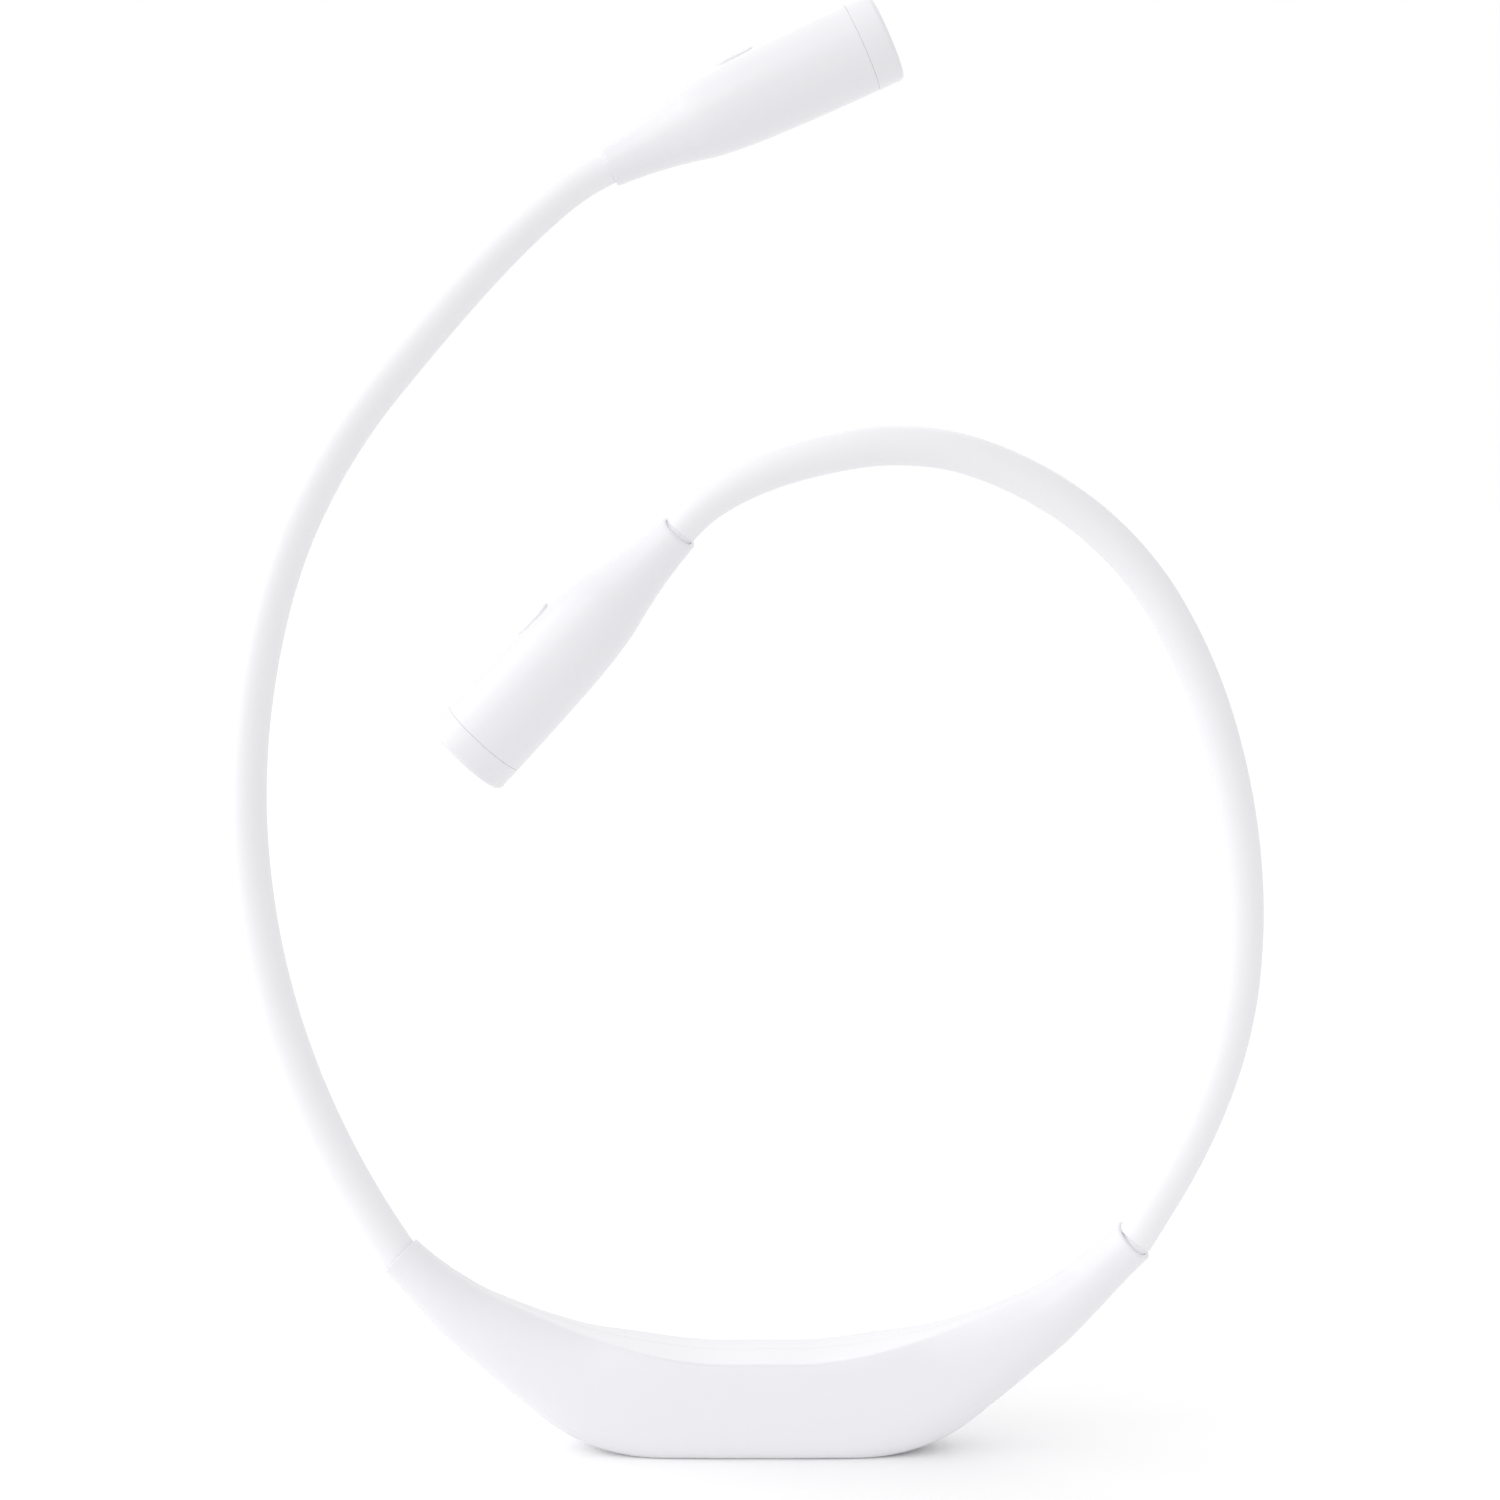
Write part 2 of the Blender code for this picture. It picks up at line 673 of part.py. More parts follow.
def build_arm(arm, base, finishes):
    """Sleeves, gooseneck and wire of one arm, and the pivots of its bends."""
    pivots = [base]
    for (name, _, _), distance in zip(BENDS, arm.bends):
        pivots.append(Pivot(f"{arm.name}_{name}_bend", arm.route.point(distance), pivots[-1]))
    anchor = arm.root - ANCHOR_FROM_ROOT - FERRULE_LENGTH
    core_end = arm.tip + NECK_BLOCK_LENGTH + GAP + FERRULE_LENGTH
    wire_end = arm.tip + led_board_back() - GAP
    sleeve_start = arm.mouth - RECESS_DEPTH + GAP
    sleeve_end = arm.tip + RECESS_DEPTH - GAP
    for k, stretch in enumerate(STRETCHES):
        socket = arm.bends[k - 1] if k else None
        ball = arm.bends[k] if k < len(BENDS) else None
        core_from = socket + CORE_START if k else anchor
        core_to = ball + CORE_REACH if ball else core_end
        wire_from = socket + CORE_START if k else 0.0
        wire_to = ball + WIRE_REACH if ball else wire_end
        pivot = pivots[k]
        core = arm.bar(core_from, core_to, lambda d: CORE_RADIUS, CORE_BORE_RADIUS, CORE_SIDES)
        wire = arm.bar(wire_from, wire_to, lambda d: WIRE_RADIUS, 0, WIRE_SIDES)
        sleeve = arm.sleeve(sleeve_start, sleeve_end, socket, ball)
        piece(f"{arm.name}_sleeve_{stretch}", sleeve, finishes["silicone"], pivot)
        piece(f"{arm.name}_gooseneck_{stretch}", core, finishes["steel"], pivot)
        piece(f"{arm.name}_wire_{stretch}", wire, finishes["wire"], pivot)
    start, end = anchor, anchor + FERRULE_LENGTH
    rings = []
    for distance, radius in (
        (start, FERRULE_RADIUS),
        (end, FERRULE_RADIUS),
        (end, FERRULE_BORE_RADIUS),
        (start, FERRULE_BORE_RADIUS),
    ):
        rings.append(ring_at(arm.route.point(distance), arm.route.along(distance), radius, SMALL_SIDES))
    piece(f"{arm.name}_anchor_ferrule", lofted_tube(rings), finishes["brass"], base)
    return pivots


def head_radius_at(distance):
    share = distance / HEAD_LENGTH
    fine = curve_through(HEAD_OUTLINE_SHARES, OUTLINE_STEPS)
    for a, b in zip(fine, fine[1:]):
        if a[0] <= share <= b[0]:
            return mix(NECK_RADIUS, HEAD_RADIUS, min(mix(a[1], b[1], (share - a[0]) / (b[0] - a[0])), 1.0))
    return HEAD_RADIUS


def seam_place():
    return HEAD_LENGTH - BEZEL_LENGTH


def spigot_end():
    return seam_place() + SPIGOT_LENGTH


def reflector_back():
    return spigot_end() - REFLECTOR_LENGTH


def led_board_back():
    return reflector_back() - GAP - LED_BOARD_THICKNESS


def bore_radius():
    return HEAD_RADIUS - BEZEL_WALL - GAP - SPIGOT_WALL


def barrel_profile():
    """The barrel's outside from the neck to the spigot, then its inside back to the neck."""
    seam = seam_place()
    outside = [(HEAD_LENGTH * share, head_radius_at(HEAD_LENGTH * share)) for share in BARREL_STOP_SHARES]
    outside.append((seam - HALF_GAP, HEAD_RADIUS))
    spigot = bore_radius() + SPIGOT_WALL
    outside.append((seam - HALF_GAP, spigot))
    outside.append((spigot_end(), spigot))
    ledge = led_board_back() - GAP
    inside = [(spigot_end(), bore_radius()), (ledge, bore_radius()), (ledge, bore_radius() - SHOULDER_STEP)]
    inside.append((ledge - SHOULDER_THICKNESS, bore_radius() - SHOULDER_STEP))
    inside.append((ledge_place(), bore_radius()))
    for share in BORE_STOP_SHARES:
        distance = HEAD_LENGTH * share
        inside.append((distance, min(head_radius_at(distance) - BARREL_WALL, bore_radius())))
    inside.append((NECK_BLOCK_LENGTH, head_radius_at(NECK_BLOCK_LENGTH) - BARREL_WALL))
    inside.append((NECK_BLOCK_LENGTH, CHANNEL_RADIUS))
    recess = SLEEVE_TIP_RADIUS + GAP
    inside += [(RECESS_DEPTH, CHANNEL_RADIUS), (RECESS_DEPTH, recess), (0.0, recess)]
    return outside + inside


def ledge_place():
    """Where the ledge under the LED board begins, as seen from the neck."""
    return led_board_back() - GAP - SHOULDER_THICKNESS - SHOULDER_STEP


def button_place():
    """The button and its switch are in the middle of the hollow between the neck and the ledge."""
    return (NECK_BLOCK_LENGTH + GAP + FERRULE_LENGTH + ledge_place()) / 2


def button_levels():
    """Heights over the head's axis: the button's top, its flange and the switch below."""
    surface = head_radius_at(button_place())
    flange_top = surface - BARREL_WALL - FLANGE_FROM_WALL
    flange_low = flange_top - BUTTON_FLANGE_THICKNESS
    switch_top = flange_low - BUTTON_TRAVEL - SWITCH_STOP
    return surface + BUTTON_PROUD, flange_top, flange_low, switch_top


def build_head(arm, pivot, finishes):
    """A lamp head on the neck of its arm, its button on the outer side of the loop."""
    along = arm.head_along
    outward = Vector((along.z, 0, -along.x)) * arm.side
    sideways = outward.cross(along)
    neck_frame = Matrix.Translation(arm.neck) @ Matrix((along, sideways, outward)).transposed().to_4x4()
    frame = neck_frame @ Matrix.Translation((0, 0, HEAD_OFFSET))

    def put(name, bm, material, owner=pivot):
        return piece(f"{arm.name}_{name}", place_on(bm, frame), finishes[material], owner)

    seam = seam_place()
    press = button_place()
    top, flange_top, flange_low, switch_top = button_levels()
    form = turned(barrel_profile(), HEAD_SIDES)
    for v in form.verts:
        in_channel = v.co.x <= NECK_BLOCK_LENGTH and v.co.yz.length < NECK_RADIUS - HALF_GAP
        if not in_channel:
            v.co.z += HEAD_OFFSET * ease(min(v.co.x / HEAD_OFFSET_LENGTH, 1.0))
    barrel = piece(f"{arm.name}_head_barrel", place_on(form, neck_frame), finishes["plastic"], pivot)
    hole = oval_bar(
        BUTTON_LENGTH + 2 * BUTTON_CLEARANCE,
        BUTTON_WIDTH + 2 * BUTTON_CLEARANCE,
        flange_low,
        HEAD_RADIUS + OVERRUN,
        press,
    )
    shape(barrel, "DIFFERENCE", place_on(hole, frame), pivot)

    inner = HEAD_RADIUS - BEZEL_WALL
    lip = HEAD_RADIUS - BEZEL_WALL - BEZEL_LIP
    lens_back = spigot_end() + GAP
    lip_back = lens_back + LENS_THICKNESS + GAP
    bezel = [
        (seam + HALF_GAP, HEAD_RADIUS),
        (HEAD_LENGTH - BEZEL_EDGE, HEAD_RADIUS),
        (HEAD_LENGTH, HEAD_RADIUS - BEZEL_EDGE),
        (HEAD_LENGTH, lip + BEZEL_EDGE),
        (HEAD_LENGTH - BEZEL_EDGE, lip),
        (lip_back, lip),
        (lip_back, inner),
        (seam + HALF_GAP, inner),
    ]
    put("head_bezel", turned(bezel, HEAD_SIDES), "plastic")

    lens_radius = inner - GAP
    lens_front = lens_back + LENS_THICKNESS
    lens = [
        (lens_back, 0),
        (lens_back, lens_radius),
        (lens_front, lens_radius),
        (lens_front, lip - GAP),
        (lens_front + LENS_DOME / 2, (lip - GAP) * LENS_DOME_SHARE),
        (lens_front + LENS_DOME, 0),
    ]
    put("head_lens", turned(lens, HEAD_SIDES, closed=False), "lens")

    cup = reflector_back()
    cup_end = cup + REFLECTOR_LENGTH - HALF_GAP
    flange = bore_radius() - GAP
    reflector = [
        (cup, REFLECTOR_HOLE_RADIUS + REFLECTOR_WALL),
        (cup_end - REFLECTOR_WALL, flange - REFLECTOR_WALL / 2),
        (cup_end - REFLECTOR_WALL, flange),
        (cup_end, flange),
        (cup_end, flange - REFLECTOR_WALL),
        (cup, REFLECTOR_HOLE_RADIUS),
    ]
    put("head_reflector", turned(reflector, HEAD_SIDES), "mirror")

    back = led_board_back()
    front = back + LED_BOARD_THICKNESS
    put("head_led_board", rod((back, 0, 0), (front, 0, 0), flange, HEAD_SIDES), "board")
    half = LED_WIDTH / 2
    led = block((front + GAP, -half, -half), (front + GAP + LED_HEIGHT, half, half))
    put("head_led", led, "phosphor")

    ferrule_start = NECK_BLOCK_LENGTH + GAP
    ferrule = [
        (ferrule_start, FERRULE_BORE_RADIUS),
        (ferrule_start, FERRULE_RADIUS),
        (ferrule_start + FERRULE_LENGTH, FERRULE_RADIUS),
        (ferrule_start + FERRULE_LENGTH, FERRULE_BORE_RADIUS),
    ]
    form = place_on(turned(ferrule, SMALL_SIDES), neck_frame)
    piece(f"{arm.name}_head_ferrule", form, finishes["brass"], pivot)

    half = SWITCH_WIDTH / 2
    board_top = switch_top - SWITCH_HEIGHT - GAP
    switch = block(
        (press - half, -half, switch_top - SWITCH_HEIGHT), (press + half, half, switch_top)
    )
    put("head_switch", switch, "black")
    board = block(
        (press - SWITCH_BOARD_LENGTH / 2, -SWITCH_BOARD_WIDTH / 2, board_top - SWITCH_BOARD_THICKNESS),
        (press + SWITCH_BOARD_LENGTH / 2, SWITCH_BOARD_WIDTH / 2, board_top),
    )
    put("head_switch_board", board, "board")

    slide = Pivot(f"{arm.name}_button_slide", frame @ Vector((press, 0, top)), pivot)
    cap = oval_bar(BUTTON_LENGTH, BUTTON_WIDTH, (flange_low + flange_top) / 2, top, press)
    button = put("head_button", cap, "button", slide)
    flange = oval_bar(
        BUTTON_LENGTH + 2 * BUTTON_FLANGE, BUTTON_WIDTH + 2 * BUTTON_FLANGE, flange_low, flange_top, press
    )
    shape(button, "UNION", place_on(flange, frame), slide)


def add_ribs(shell, side, base):
    """Two ribs that cradle the cell in a shell."""
    for end in (-1, 1):
        middle = end * RIB_PLACE_SHARE * CELL_LENGTH / 2
        reach = HOUSING_DEPTH / 2 - BITE - HALF_GAP
        near = SEAM_SET_BACK + side * HALF_GAP
        low = (middle - RIB_THICKNESS / 2, min(near, side * reach), HOUSING_WALL - BITE)
        high = (middle + RIB_THICKNESS / 2, max(near, side * reach), RIB_HEIGHT)
        shape(shell, "UNION", block(low, high), base)
    seat = rod(
        (-CELL_LENGTH / 2, 0, CELL_HEIGHT), (CELL_LENGTH / 2, 0, CELL_HEIGHT), CELL_RADIUS + GAP, HEAD_SIDES
    )
    shape(shell, "DIFFERENCE", seat, base)


def build_screws(front, rear, base, finishes):
    for name, side in (("left", -1), ("right", 1)):
        station = station_at(side * SCREW_PLACE_SHARE)
        x, z = station.centre.x, station.centre.z
        wall = station.half_depth - BITE
        seam = station.seam
        outside = station.half_depth + OVERRUN
        hole = SCREW_RADIUS + GAP
        post = hole + BOSS_WALL
        seat = seam + SCREW_SEAT
        tip = seam - SCREW_DEPTH
        shape(front, "UNION", rod((x, -wall, z), (x, seam - HALF_GAP, z), post, SCREW_SIDES), base)
        shape(front, "DIFFERENCE", rod((x, tip - GAP, z), (x, seam + GAP, z), hole, SCREW_SIDES), base)
        wide = SCREW_HEAD_RADIUS + GAP
        boss = rod((x, seam + HALF_GAP, z), (x, wall, z), wide + BOSS_WALL / 2, SCREW_SIDES)
        shape(rear, "UNION", boss, base)
        shape(rear, "DIFFERENCE", rod((x, seam - GAP, z), (x, outside, z), hole, SCREW_SIDES), base)
        shape(rear, "DIFFERENCE", rod((x, seat, z), (x, outside, z), wide, SCREW_SIDES), base)
        under_head = seat + GAP
        head_top = under_head + SCREW_HEAD_HEIGHT
        profile = [
            (tip, 0),
            (tip, SCREW_RADIUS),
            (under_head, SCREW_RADIUS),
            (under_head, SCREW_HEAD_RADIUS),
            (head_top, SCREW_HEAD_RADIUS),
            (head_top, 0),
        ]
        turn = Matrix.Translation((x, 0, z)) @ Matrix.Rotation(math.pi / 2, 4, "Z")
        form = place_on(turned(profile, SCREW_SIDES, closed=False), turn)
        screw = piece(f"{name}_housing_screw", form, finishes["steel"], base)
        socket = rod((x, head_top - HEX_DEPTH, z), (x, head_top + OVERRUN, z), HEX_RADIUS, 6)
        shape(screw, "DIFFERENCE", socket, base)


def build_board(front, rear, base, finishes):
    """The charging board on its posts, the charging socket and the charge light."""
    start = CELL_LENGTH / 2 + BOARD_FROM_CELL
    end = start + BOARD_LENGTH
    top = BOARD_HEIGHT + BOARD_THICKNESS
    half = BOARD_WIDTH / 2
    put_board = block((start, -half, BOARD_HEIGHT), (end, half, top))
    piece("charging_board", put_board, finishes["board"], base)
    for x in (start + POST_WIDTH, end - POST_WIDTH):
        station = station_at(x / HOUSING_HALF_SPAN)
        floor = station.centre.z - station.half_height + HOUSING_WALL - BITE
        low = (x - POST_WIDTH / 2, -half, max(floor, HOUSING_WALL - BITE))
        high = (x + POST_WIDTH / 2, -half + POST_WIDTH, BOARD_HEIGHT - GAP)
        shape(front, "UNION", block(low, high), base)

    x = start + BOARD_LENGTH / 2
    face = station_at(x / HOUSING_HALF_SPAN).half_depth - PORT_FROM_FACE
    low = top + GAP
    middle = low + PORT_HEIGHT / 2
    radius = PORT_HEIGHT / 2
    upright = Matrix.Translation((x, face, middle)) @ Matrix.Rotation(-math.pi / 2, 4, "X")

    def slot(width, height, near, far):
        return place_on(oval_bar(width, height, near, far, 0.0), upright)

    port = piece("charging_socket", slot(PORT_WIDTH, PORT_HEIGHT, -PORT_LENGTH, 0.0), finishes["steel"], base)
    bore_size = (PORT_WIDTH - 2 * PORT_WALL, PORT_HEIGHT - 2 * PORT_WALL)
    bore = slot(*bore_size, PORT_BACK_WALL - PORT_LENGTH, OVERRUN)
    shape(port, "DIFFERENCE", bore, base)
    half, thin = PORT_TONGUE_WIDTH / 2, PORT_TONGUE_THICKNESS / 2
    root = face - PORT_LENGTH + PORT_BACK_WALL / 2
    tip = face - PORT_TONGUE_SET_BACK
    tongue = block((x - half, root, middle - thin), (x + half, tip, middle + thin))
    shape(port, "UNION", tongue, base)
    window_size = (PORT_WIDTH + 2 * GAP, PORT_HEIGHT + 2 * GAP)
    window = slot(*window_size, -HOUSING_WALL - BITE - OVERRUN, OVERRUN + radius)
    shape(rear, "DIFFERENCE", window, base)

    x = x + PORT_WIDTH / 2 + PIPE_FROM_PORT
    face = station_at(x / HOUSING_HALF_SPAN).half_depth + PIPE_PROUD
    pipe = rod((x, face - PIPE_LENGTH, middle), (x, face, middle), PIPE_RADIUS, SMALL_SIDES)
    piece("charge_light", pipe, finishes["lens"], base)
    hole = rod((x, face - PIPE_LENGTH, middle), (x, face + OVERRUN, middle), PIPE_RADIUS + GAP, SMALL_SIDES)
    shape(rear, "DIFFERENCE", hole, base)


def build_cell(base, finishes):
    half = CELL_LENGTH / 2
    can = half - CELL_TERMINAL_HEIGHT
    profile = [
        (-half + GAP, 0),
        (-half + GAP, CELL_RADIUS),
        (can, CELL_RADIUS),
        (can, CELL_TERMINAL_RADIUS),
        (half - GAP, CELL_TERMINAL_RADIUS),
        (half - GAP, 0),
    ]
    cell = place_on(turned(profile, HEAD_SIDES, closed=False), Matrix.Translation((0, 0, CELL_HEIGHT)))
    piece("battery_cell", cell, finishes["cell"], base)


def main():
    clear_scene()
    finishes = {
        "plastic": finish("white_plastic", (0.86, 0.87, 0.88), 0.32),
        "silicone": finish("white_silicone", (0.87, 0.88, 0.89), 0.55),
        "steel": finish("steel", (0.62, 0.62, 0.63), 0.35, 1.0),
        "brass": finish("brass", (0.75, 0.58, 0.32), 0.4, 1.0),
        "wire": finish("wire_jacket", (0.05, 0.05, 0.05), 0.5),
        "cell": finish("cell_wrap", (0.10, 0.25, 0.55), 0.45),
        "board": finish("circuit_board", (0.04, 0.22, 0.10), 0.5),
        "black": finish("switch_body", (0.03, 0.03, 0.03), 0.5),
        "button": finish("button_plastic", (0.82, 0.83, 0.84), 0.35),
        "lens": finish("frosted_lens", (0.9, 0.92, 0.93), 0.25),
        "mirror": finish("bright_plating", (0.85, 0.85, 0.86), 0.1, 1.0),
        "phosphor": finish("led_phosphor", (0.95, 0.8, 0.3), 0.5),
    }
    base = Pivot("base_frame", (0, 0, 0))
    stations = housing_stations()
    front = piece("housing_front_shell", lofted(shell_rings(stations, -1)), finishes["plastic"], base)
    rear = piece("housing_rear_shell", lofted(shell_rings(stations, 1)), finishes["plastic"], base)
    add_ribs(front, -1, base)
    add_ribs(rear, 1, base)
    build_screws(front, rear, base, finishes)
    build_board(front, rear, base, finishes)
    build_cell(base, finishes)
    for side in (-1, 1):
        arm = Arm(side, stations)
        pivots = build_arm(arm, base, finishes)
        build_head(arm, pivots[-1], finishes)


main()
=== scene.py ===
# %% [markdown]
# # A neck reading light
#
# The light stands on the flat outer edge of its crescent battery housing. A bendable arm in a white
# silicone sleeve rises from each end of it, and each arm carries a slim lamp head with one long button.
# Each step below says what a piece is on the real light, how it could be made in Blender, and why one
# way was chosen. Everything is in metres: +X runs along the housing, +Y away from the plain front face
# and +Z up.

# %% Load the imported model
import bisect
import json
import math

import bmesh
import bpy
from mathutils import Matrix, Vector


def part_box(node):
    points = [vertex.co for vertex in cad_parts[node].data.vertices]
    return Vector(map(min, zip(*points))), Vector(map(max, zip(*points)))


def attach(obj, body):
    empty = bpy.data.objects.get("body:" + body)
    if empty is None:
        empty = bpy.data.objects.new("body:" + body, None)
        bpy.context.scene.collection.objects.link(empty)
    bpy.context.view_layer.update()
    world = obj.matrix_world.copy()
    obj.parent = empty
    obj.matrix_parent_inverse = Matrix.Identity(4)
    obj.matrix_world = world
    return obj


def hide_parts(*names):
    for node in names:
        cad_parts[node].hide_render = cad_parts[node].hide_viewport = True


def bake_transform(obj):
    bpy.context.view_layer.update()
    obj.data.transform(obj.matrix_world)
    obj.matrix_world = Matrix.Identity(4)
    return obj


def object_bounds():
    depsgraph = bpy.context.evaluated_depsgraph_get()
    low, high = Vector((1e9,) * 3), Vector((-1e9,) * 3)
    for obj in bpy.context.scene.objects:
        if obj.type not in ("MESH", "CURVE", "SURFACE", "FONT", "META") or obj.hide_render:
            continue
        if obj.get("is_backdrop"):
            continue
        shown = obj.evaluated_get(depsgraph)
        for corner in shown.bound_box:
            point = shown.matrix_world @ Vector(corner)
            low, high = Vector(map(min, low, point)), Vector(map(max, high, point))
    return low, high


MM = 0.001
DEPTH = Vector((0, 1, 0))
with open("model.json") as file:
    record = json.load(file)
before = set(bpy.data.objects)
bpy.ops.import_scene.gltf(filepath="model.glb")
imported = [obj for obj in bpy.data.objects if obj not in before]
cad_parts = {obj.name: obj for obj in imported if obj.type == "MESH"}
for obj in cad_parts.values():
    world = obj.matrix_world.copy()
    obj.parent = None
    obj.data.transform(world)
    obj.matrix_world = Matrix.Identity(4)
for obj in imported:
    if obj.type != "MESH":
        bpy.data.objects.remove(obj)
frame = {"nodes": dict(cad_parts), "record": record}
cad_box = [list(corner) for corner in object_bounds()]
scene = bpy.context.scene


def in_mm(values):
    return [round(value / MM, 1) for value in values]


print("box in mm:", [in_mm(corner) for corner in cad_box])

# %% [markdown]
# ## The camera
#
# The photographer stood 60 cm in front of the housing with the camera a little above it, so that the
# flat strip along the housing's inner edge just shows. A camera can be turned by hand with Euler angles,
# but here it is aimed at a point, because the aim can then be read in millimetres. The long lens keeps
# the two arms, which lean different ways in depth, nearly the same thickness.

# %% Camera
EYE = Vector((-1.83, -600.0, 210.0)) * MM
AIM = Vector((-1.83, 0.0, 143.68)) * MM
camera = bpy.data.objects.new("camera", bpy.data.cameras.new("camera"))
camera.data.lens = 72.5
camera.data.sensor_width = 36.0
camera.location = EYE
camera.rotation_euler = (AIM - EYE).to_track_quat("-Z", "Y").to_euler()
scene.collection.objects.link(camera)
scene.camera = camera
print("camera tilt in degrees:", round(math.degrees((AIM - EYE).angle(DEPTH)), 2))

# %% [markdown]
# ## Shared surface effects
#
# No moulded surface is one flat colour. Plastic has a faint orange peel from its mould and drifts a
# little in tone, and silicone is duller, with a finer grain. Painting each material by hand would repeat
# the same nodes, so the drift and the grain are one node group with named inputs. It reads the object's
# own coordinates, so the pattern stays on the piece when an arm is bent. A second group stretches its
# noise into the fine parallel lines of drawn or brushed metal.


# %% Node groups
def new_group(name, inputs, outputs):
    group = bpy.data.node_groups.new(name, "ShaderNodeTree")
    for label, kind, value in inputs:
        socket = group.interface.new_socket(label, in_out="INPUT", socket_type=kind)
        socket.default_value = value
    for label, kind in outputs:
        group.interface.new_socket(label, in_out="OUTPUT", socket_type=kind)
    return group, group.nodes.new("NodeGroupInput"), group.nodes.new("NodeGroupOutput")


def add_node(tree, kind, **settings):
    node = tree.nodes.new(kind)
    for key, value in settings.items():
        setattr(node, key, value)
    return node


def tone_and_grain(name, stretch):
    """Two tones that drift into each other, a roughness that follows them, and a fine grain."""
    inputs = (
        ("Pale", "NodeSocketColor", (1, 1, 1, 1)),
        ("Deep", "NodeSocketColor", (0, 0, 0, 1)),
        ("Patches", "NodeSocketFloat", 60.0),
        ("Grain", "NodeSocketFloat", 900.0),
        ("Smooth", "NodeSocketFloat", 0.3),
        ("Rough", "NodeSocketFloat", 0.4),
    )
    outputs = (("Colour", "NodeSocketColor"), ("Roughness", "NodeSocketFloat"), ("Height", "NodeSocketFloat"))
    group, given, made = new_group(name, inputs, outputs)
    place = add_node(group, "ShaderNodeTexCoord")
    mapping = add_node(group, "ShaderNodeMapping")
    mapping.inputs["Scale"].default_value = stretch
    drift = add_node(group, "ShaderNodeTexNoise")
    drift.inputs["Detail"].default_value = 3.0
    grain = add_node(group, "ShaderNodeTexNoise")
    grain.inputs["Detail"].default_value = 2.0
    blend = add_node(group, "ShaderNodeMix", data_type="RGBA")
    spread = add_node(group, "ShaderNodeMapRange", interpolation_type="SMOOTHSTEP")
    spread.inputs["From Min"].default_value = 0.1
    spread.inputs["From Max"].default_value = 0.9
    link = group.links.new
    link(place.outputs["Object"], mapping.inputs["Vector"])
    link(mapping.outputs["Vector"], drift.inputs["Vector"])
    link(mapping.outputs["Vector"], grain.inputs["Vector"])
    link(given.outputs["Patches"], drift.inputs["Scale"])
    link(given.outputs["Grain"], grain.inputs["Scale"])
    link(drift.outputs["Fac"], blend.inputs["Factor"])
    link(given.outputs["Pale"], blend.inputs["A"])
    link(given.outputs["Deep"], blend.inputs["B"])
    link(drift.outputs["Fac"], spread.inputs["Value"])
    link(given.outputs["Smooth"], spread.inputs["To Min"])
    link(given.outputs["Rough"], spread.inputs["To Max"])
    link(blend.outputs["Result"], made.inputs["Colour"])
    link(spread.outputs["Result"], made.inputs["Roughness"])
    link(grain.outputs["Fac"], made.inputs["Height"])
    return group


moulded = tone_and_grain("moulded_surface", (1, 1, 1))
drawn = tone_and_grain("drawn_metal", (1, 14, 14))
print("node groups:", [group.name for group in bpy.data.node_groups])

# %% [markdown]
# ## The finishes
#
# Everything that shows is white: satin plastic on the housing and the heads, and duller silicone on the
# arms. Inside are the metals and boards that such a light holds. Each finish is a Principled shader fed
# by one of the groups. What is the same all over a surface, such as how strong the reflection is, is
# typed on the shader's own socket, and only what changes over the surface comes through a link.

# %% A finish
GRAIN_DEPTH = 0.02 * MM
finishes = {}


def finish(name, group, pale, deep, rough, patches=60.0, grain=900.0, bump=0.2, metal=0.0, **fixed):
    """A pale and a deep tone, a range of roughness, and the sizes of the patches and the grain."""
    material = finishes[name] = bpy.data.materials.new(name)
    material.use_nodes = True
    tree = material.node_tree
    shader = tree.nodes["Principled BSDF"]
    pattern = add_node(tree, "ShaderNodeGroup", node_tree=group)
    pattern.inputs["Pale"].default_value = (*pale, 1)
    pattern.inputs["Deep"].default_value = (*deep, 1)
    pattern.inputs["Patches"].default_value = patches
    pattern.inputs["Grain"].default_value = grain
    pattern.inputs["Smooth"].default_value = rough[0]
    pattern.inputs["Rough"].default_value = rough[1]
    relief = add_node(tree, "ShaderNodeBump")
    relief.inputs["Strength"].default_value = bump
    relief.inputs["Distance"].default_value = GRAIN_DEPTH
    tree.links.new(pattern.outputs["Colour"], shader.inputs["Base Color"])
    tree.links.new(pattern.outputs["Roughness"], shader.inputs["Roughness"])
    tree.links.new(pattern.outputs["Height"], relief.inputs["Height"])
    tree.links.new(relief.outputs["Normal"], shader.inputs["Normal"])
    shader.inputs["Metallic"].default_value = metal
    for socket, value in fixed.items():
        shader.inputs[socket.replace("_", " ").title().replace("Ior", "IOR")].default_value = value


finish(
    "white_plastic", moulded, (0.866, 0.862, 0.884), (0.856, 0.852, 0.874), (0.22, 0.28), grain=1400,
    bump=0.10,
)
finish(
    "white_silicone", moulded, (0.895, 0.890, 0.909), (0.883, 0.878, 0.897), (0.46, 0.56), grain=3800,
    bump=0.22, sheen_weight=0.08, sheen_roughness=0.5,
)
finish(
    "button_plastic", moulded, (0.865, 0.858, 0.882), (0.85, 0.843, 0.868), (0.34, 0.42), grain=5200,
    bump=0.30,
)
finish(
    "frosted_lens", moulded, (0.97, 0.98, 0.99), (0.94, 0.955, 0.97), (0.07, 0.13), grain=2600, bump=0.15,
    transmission_weight=1.0, ior=1.49, alpha=0.35,
)
print("finishes outside:", list(finishes))

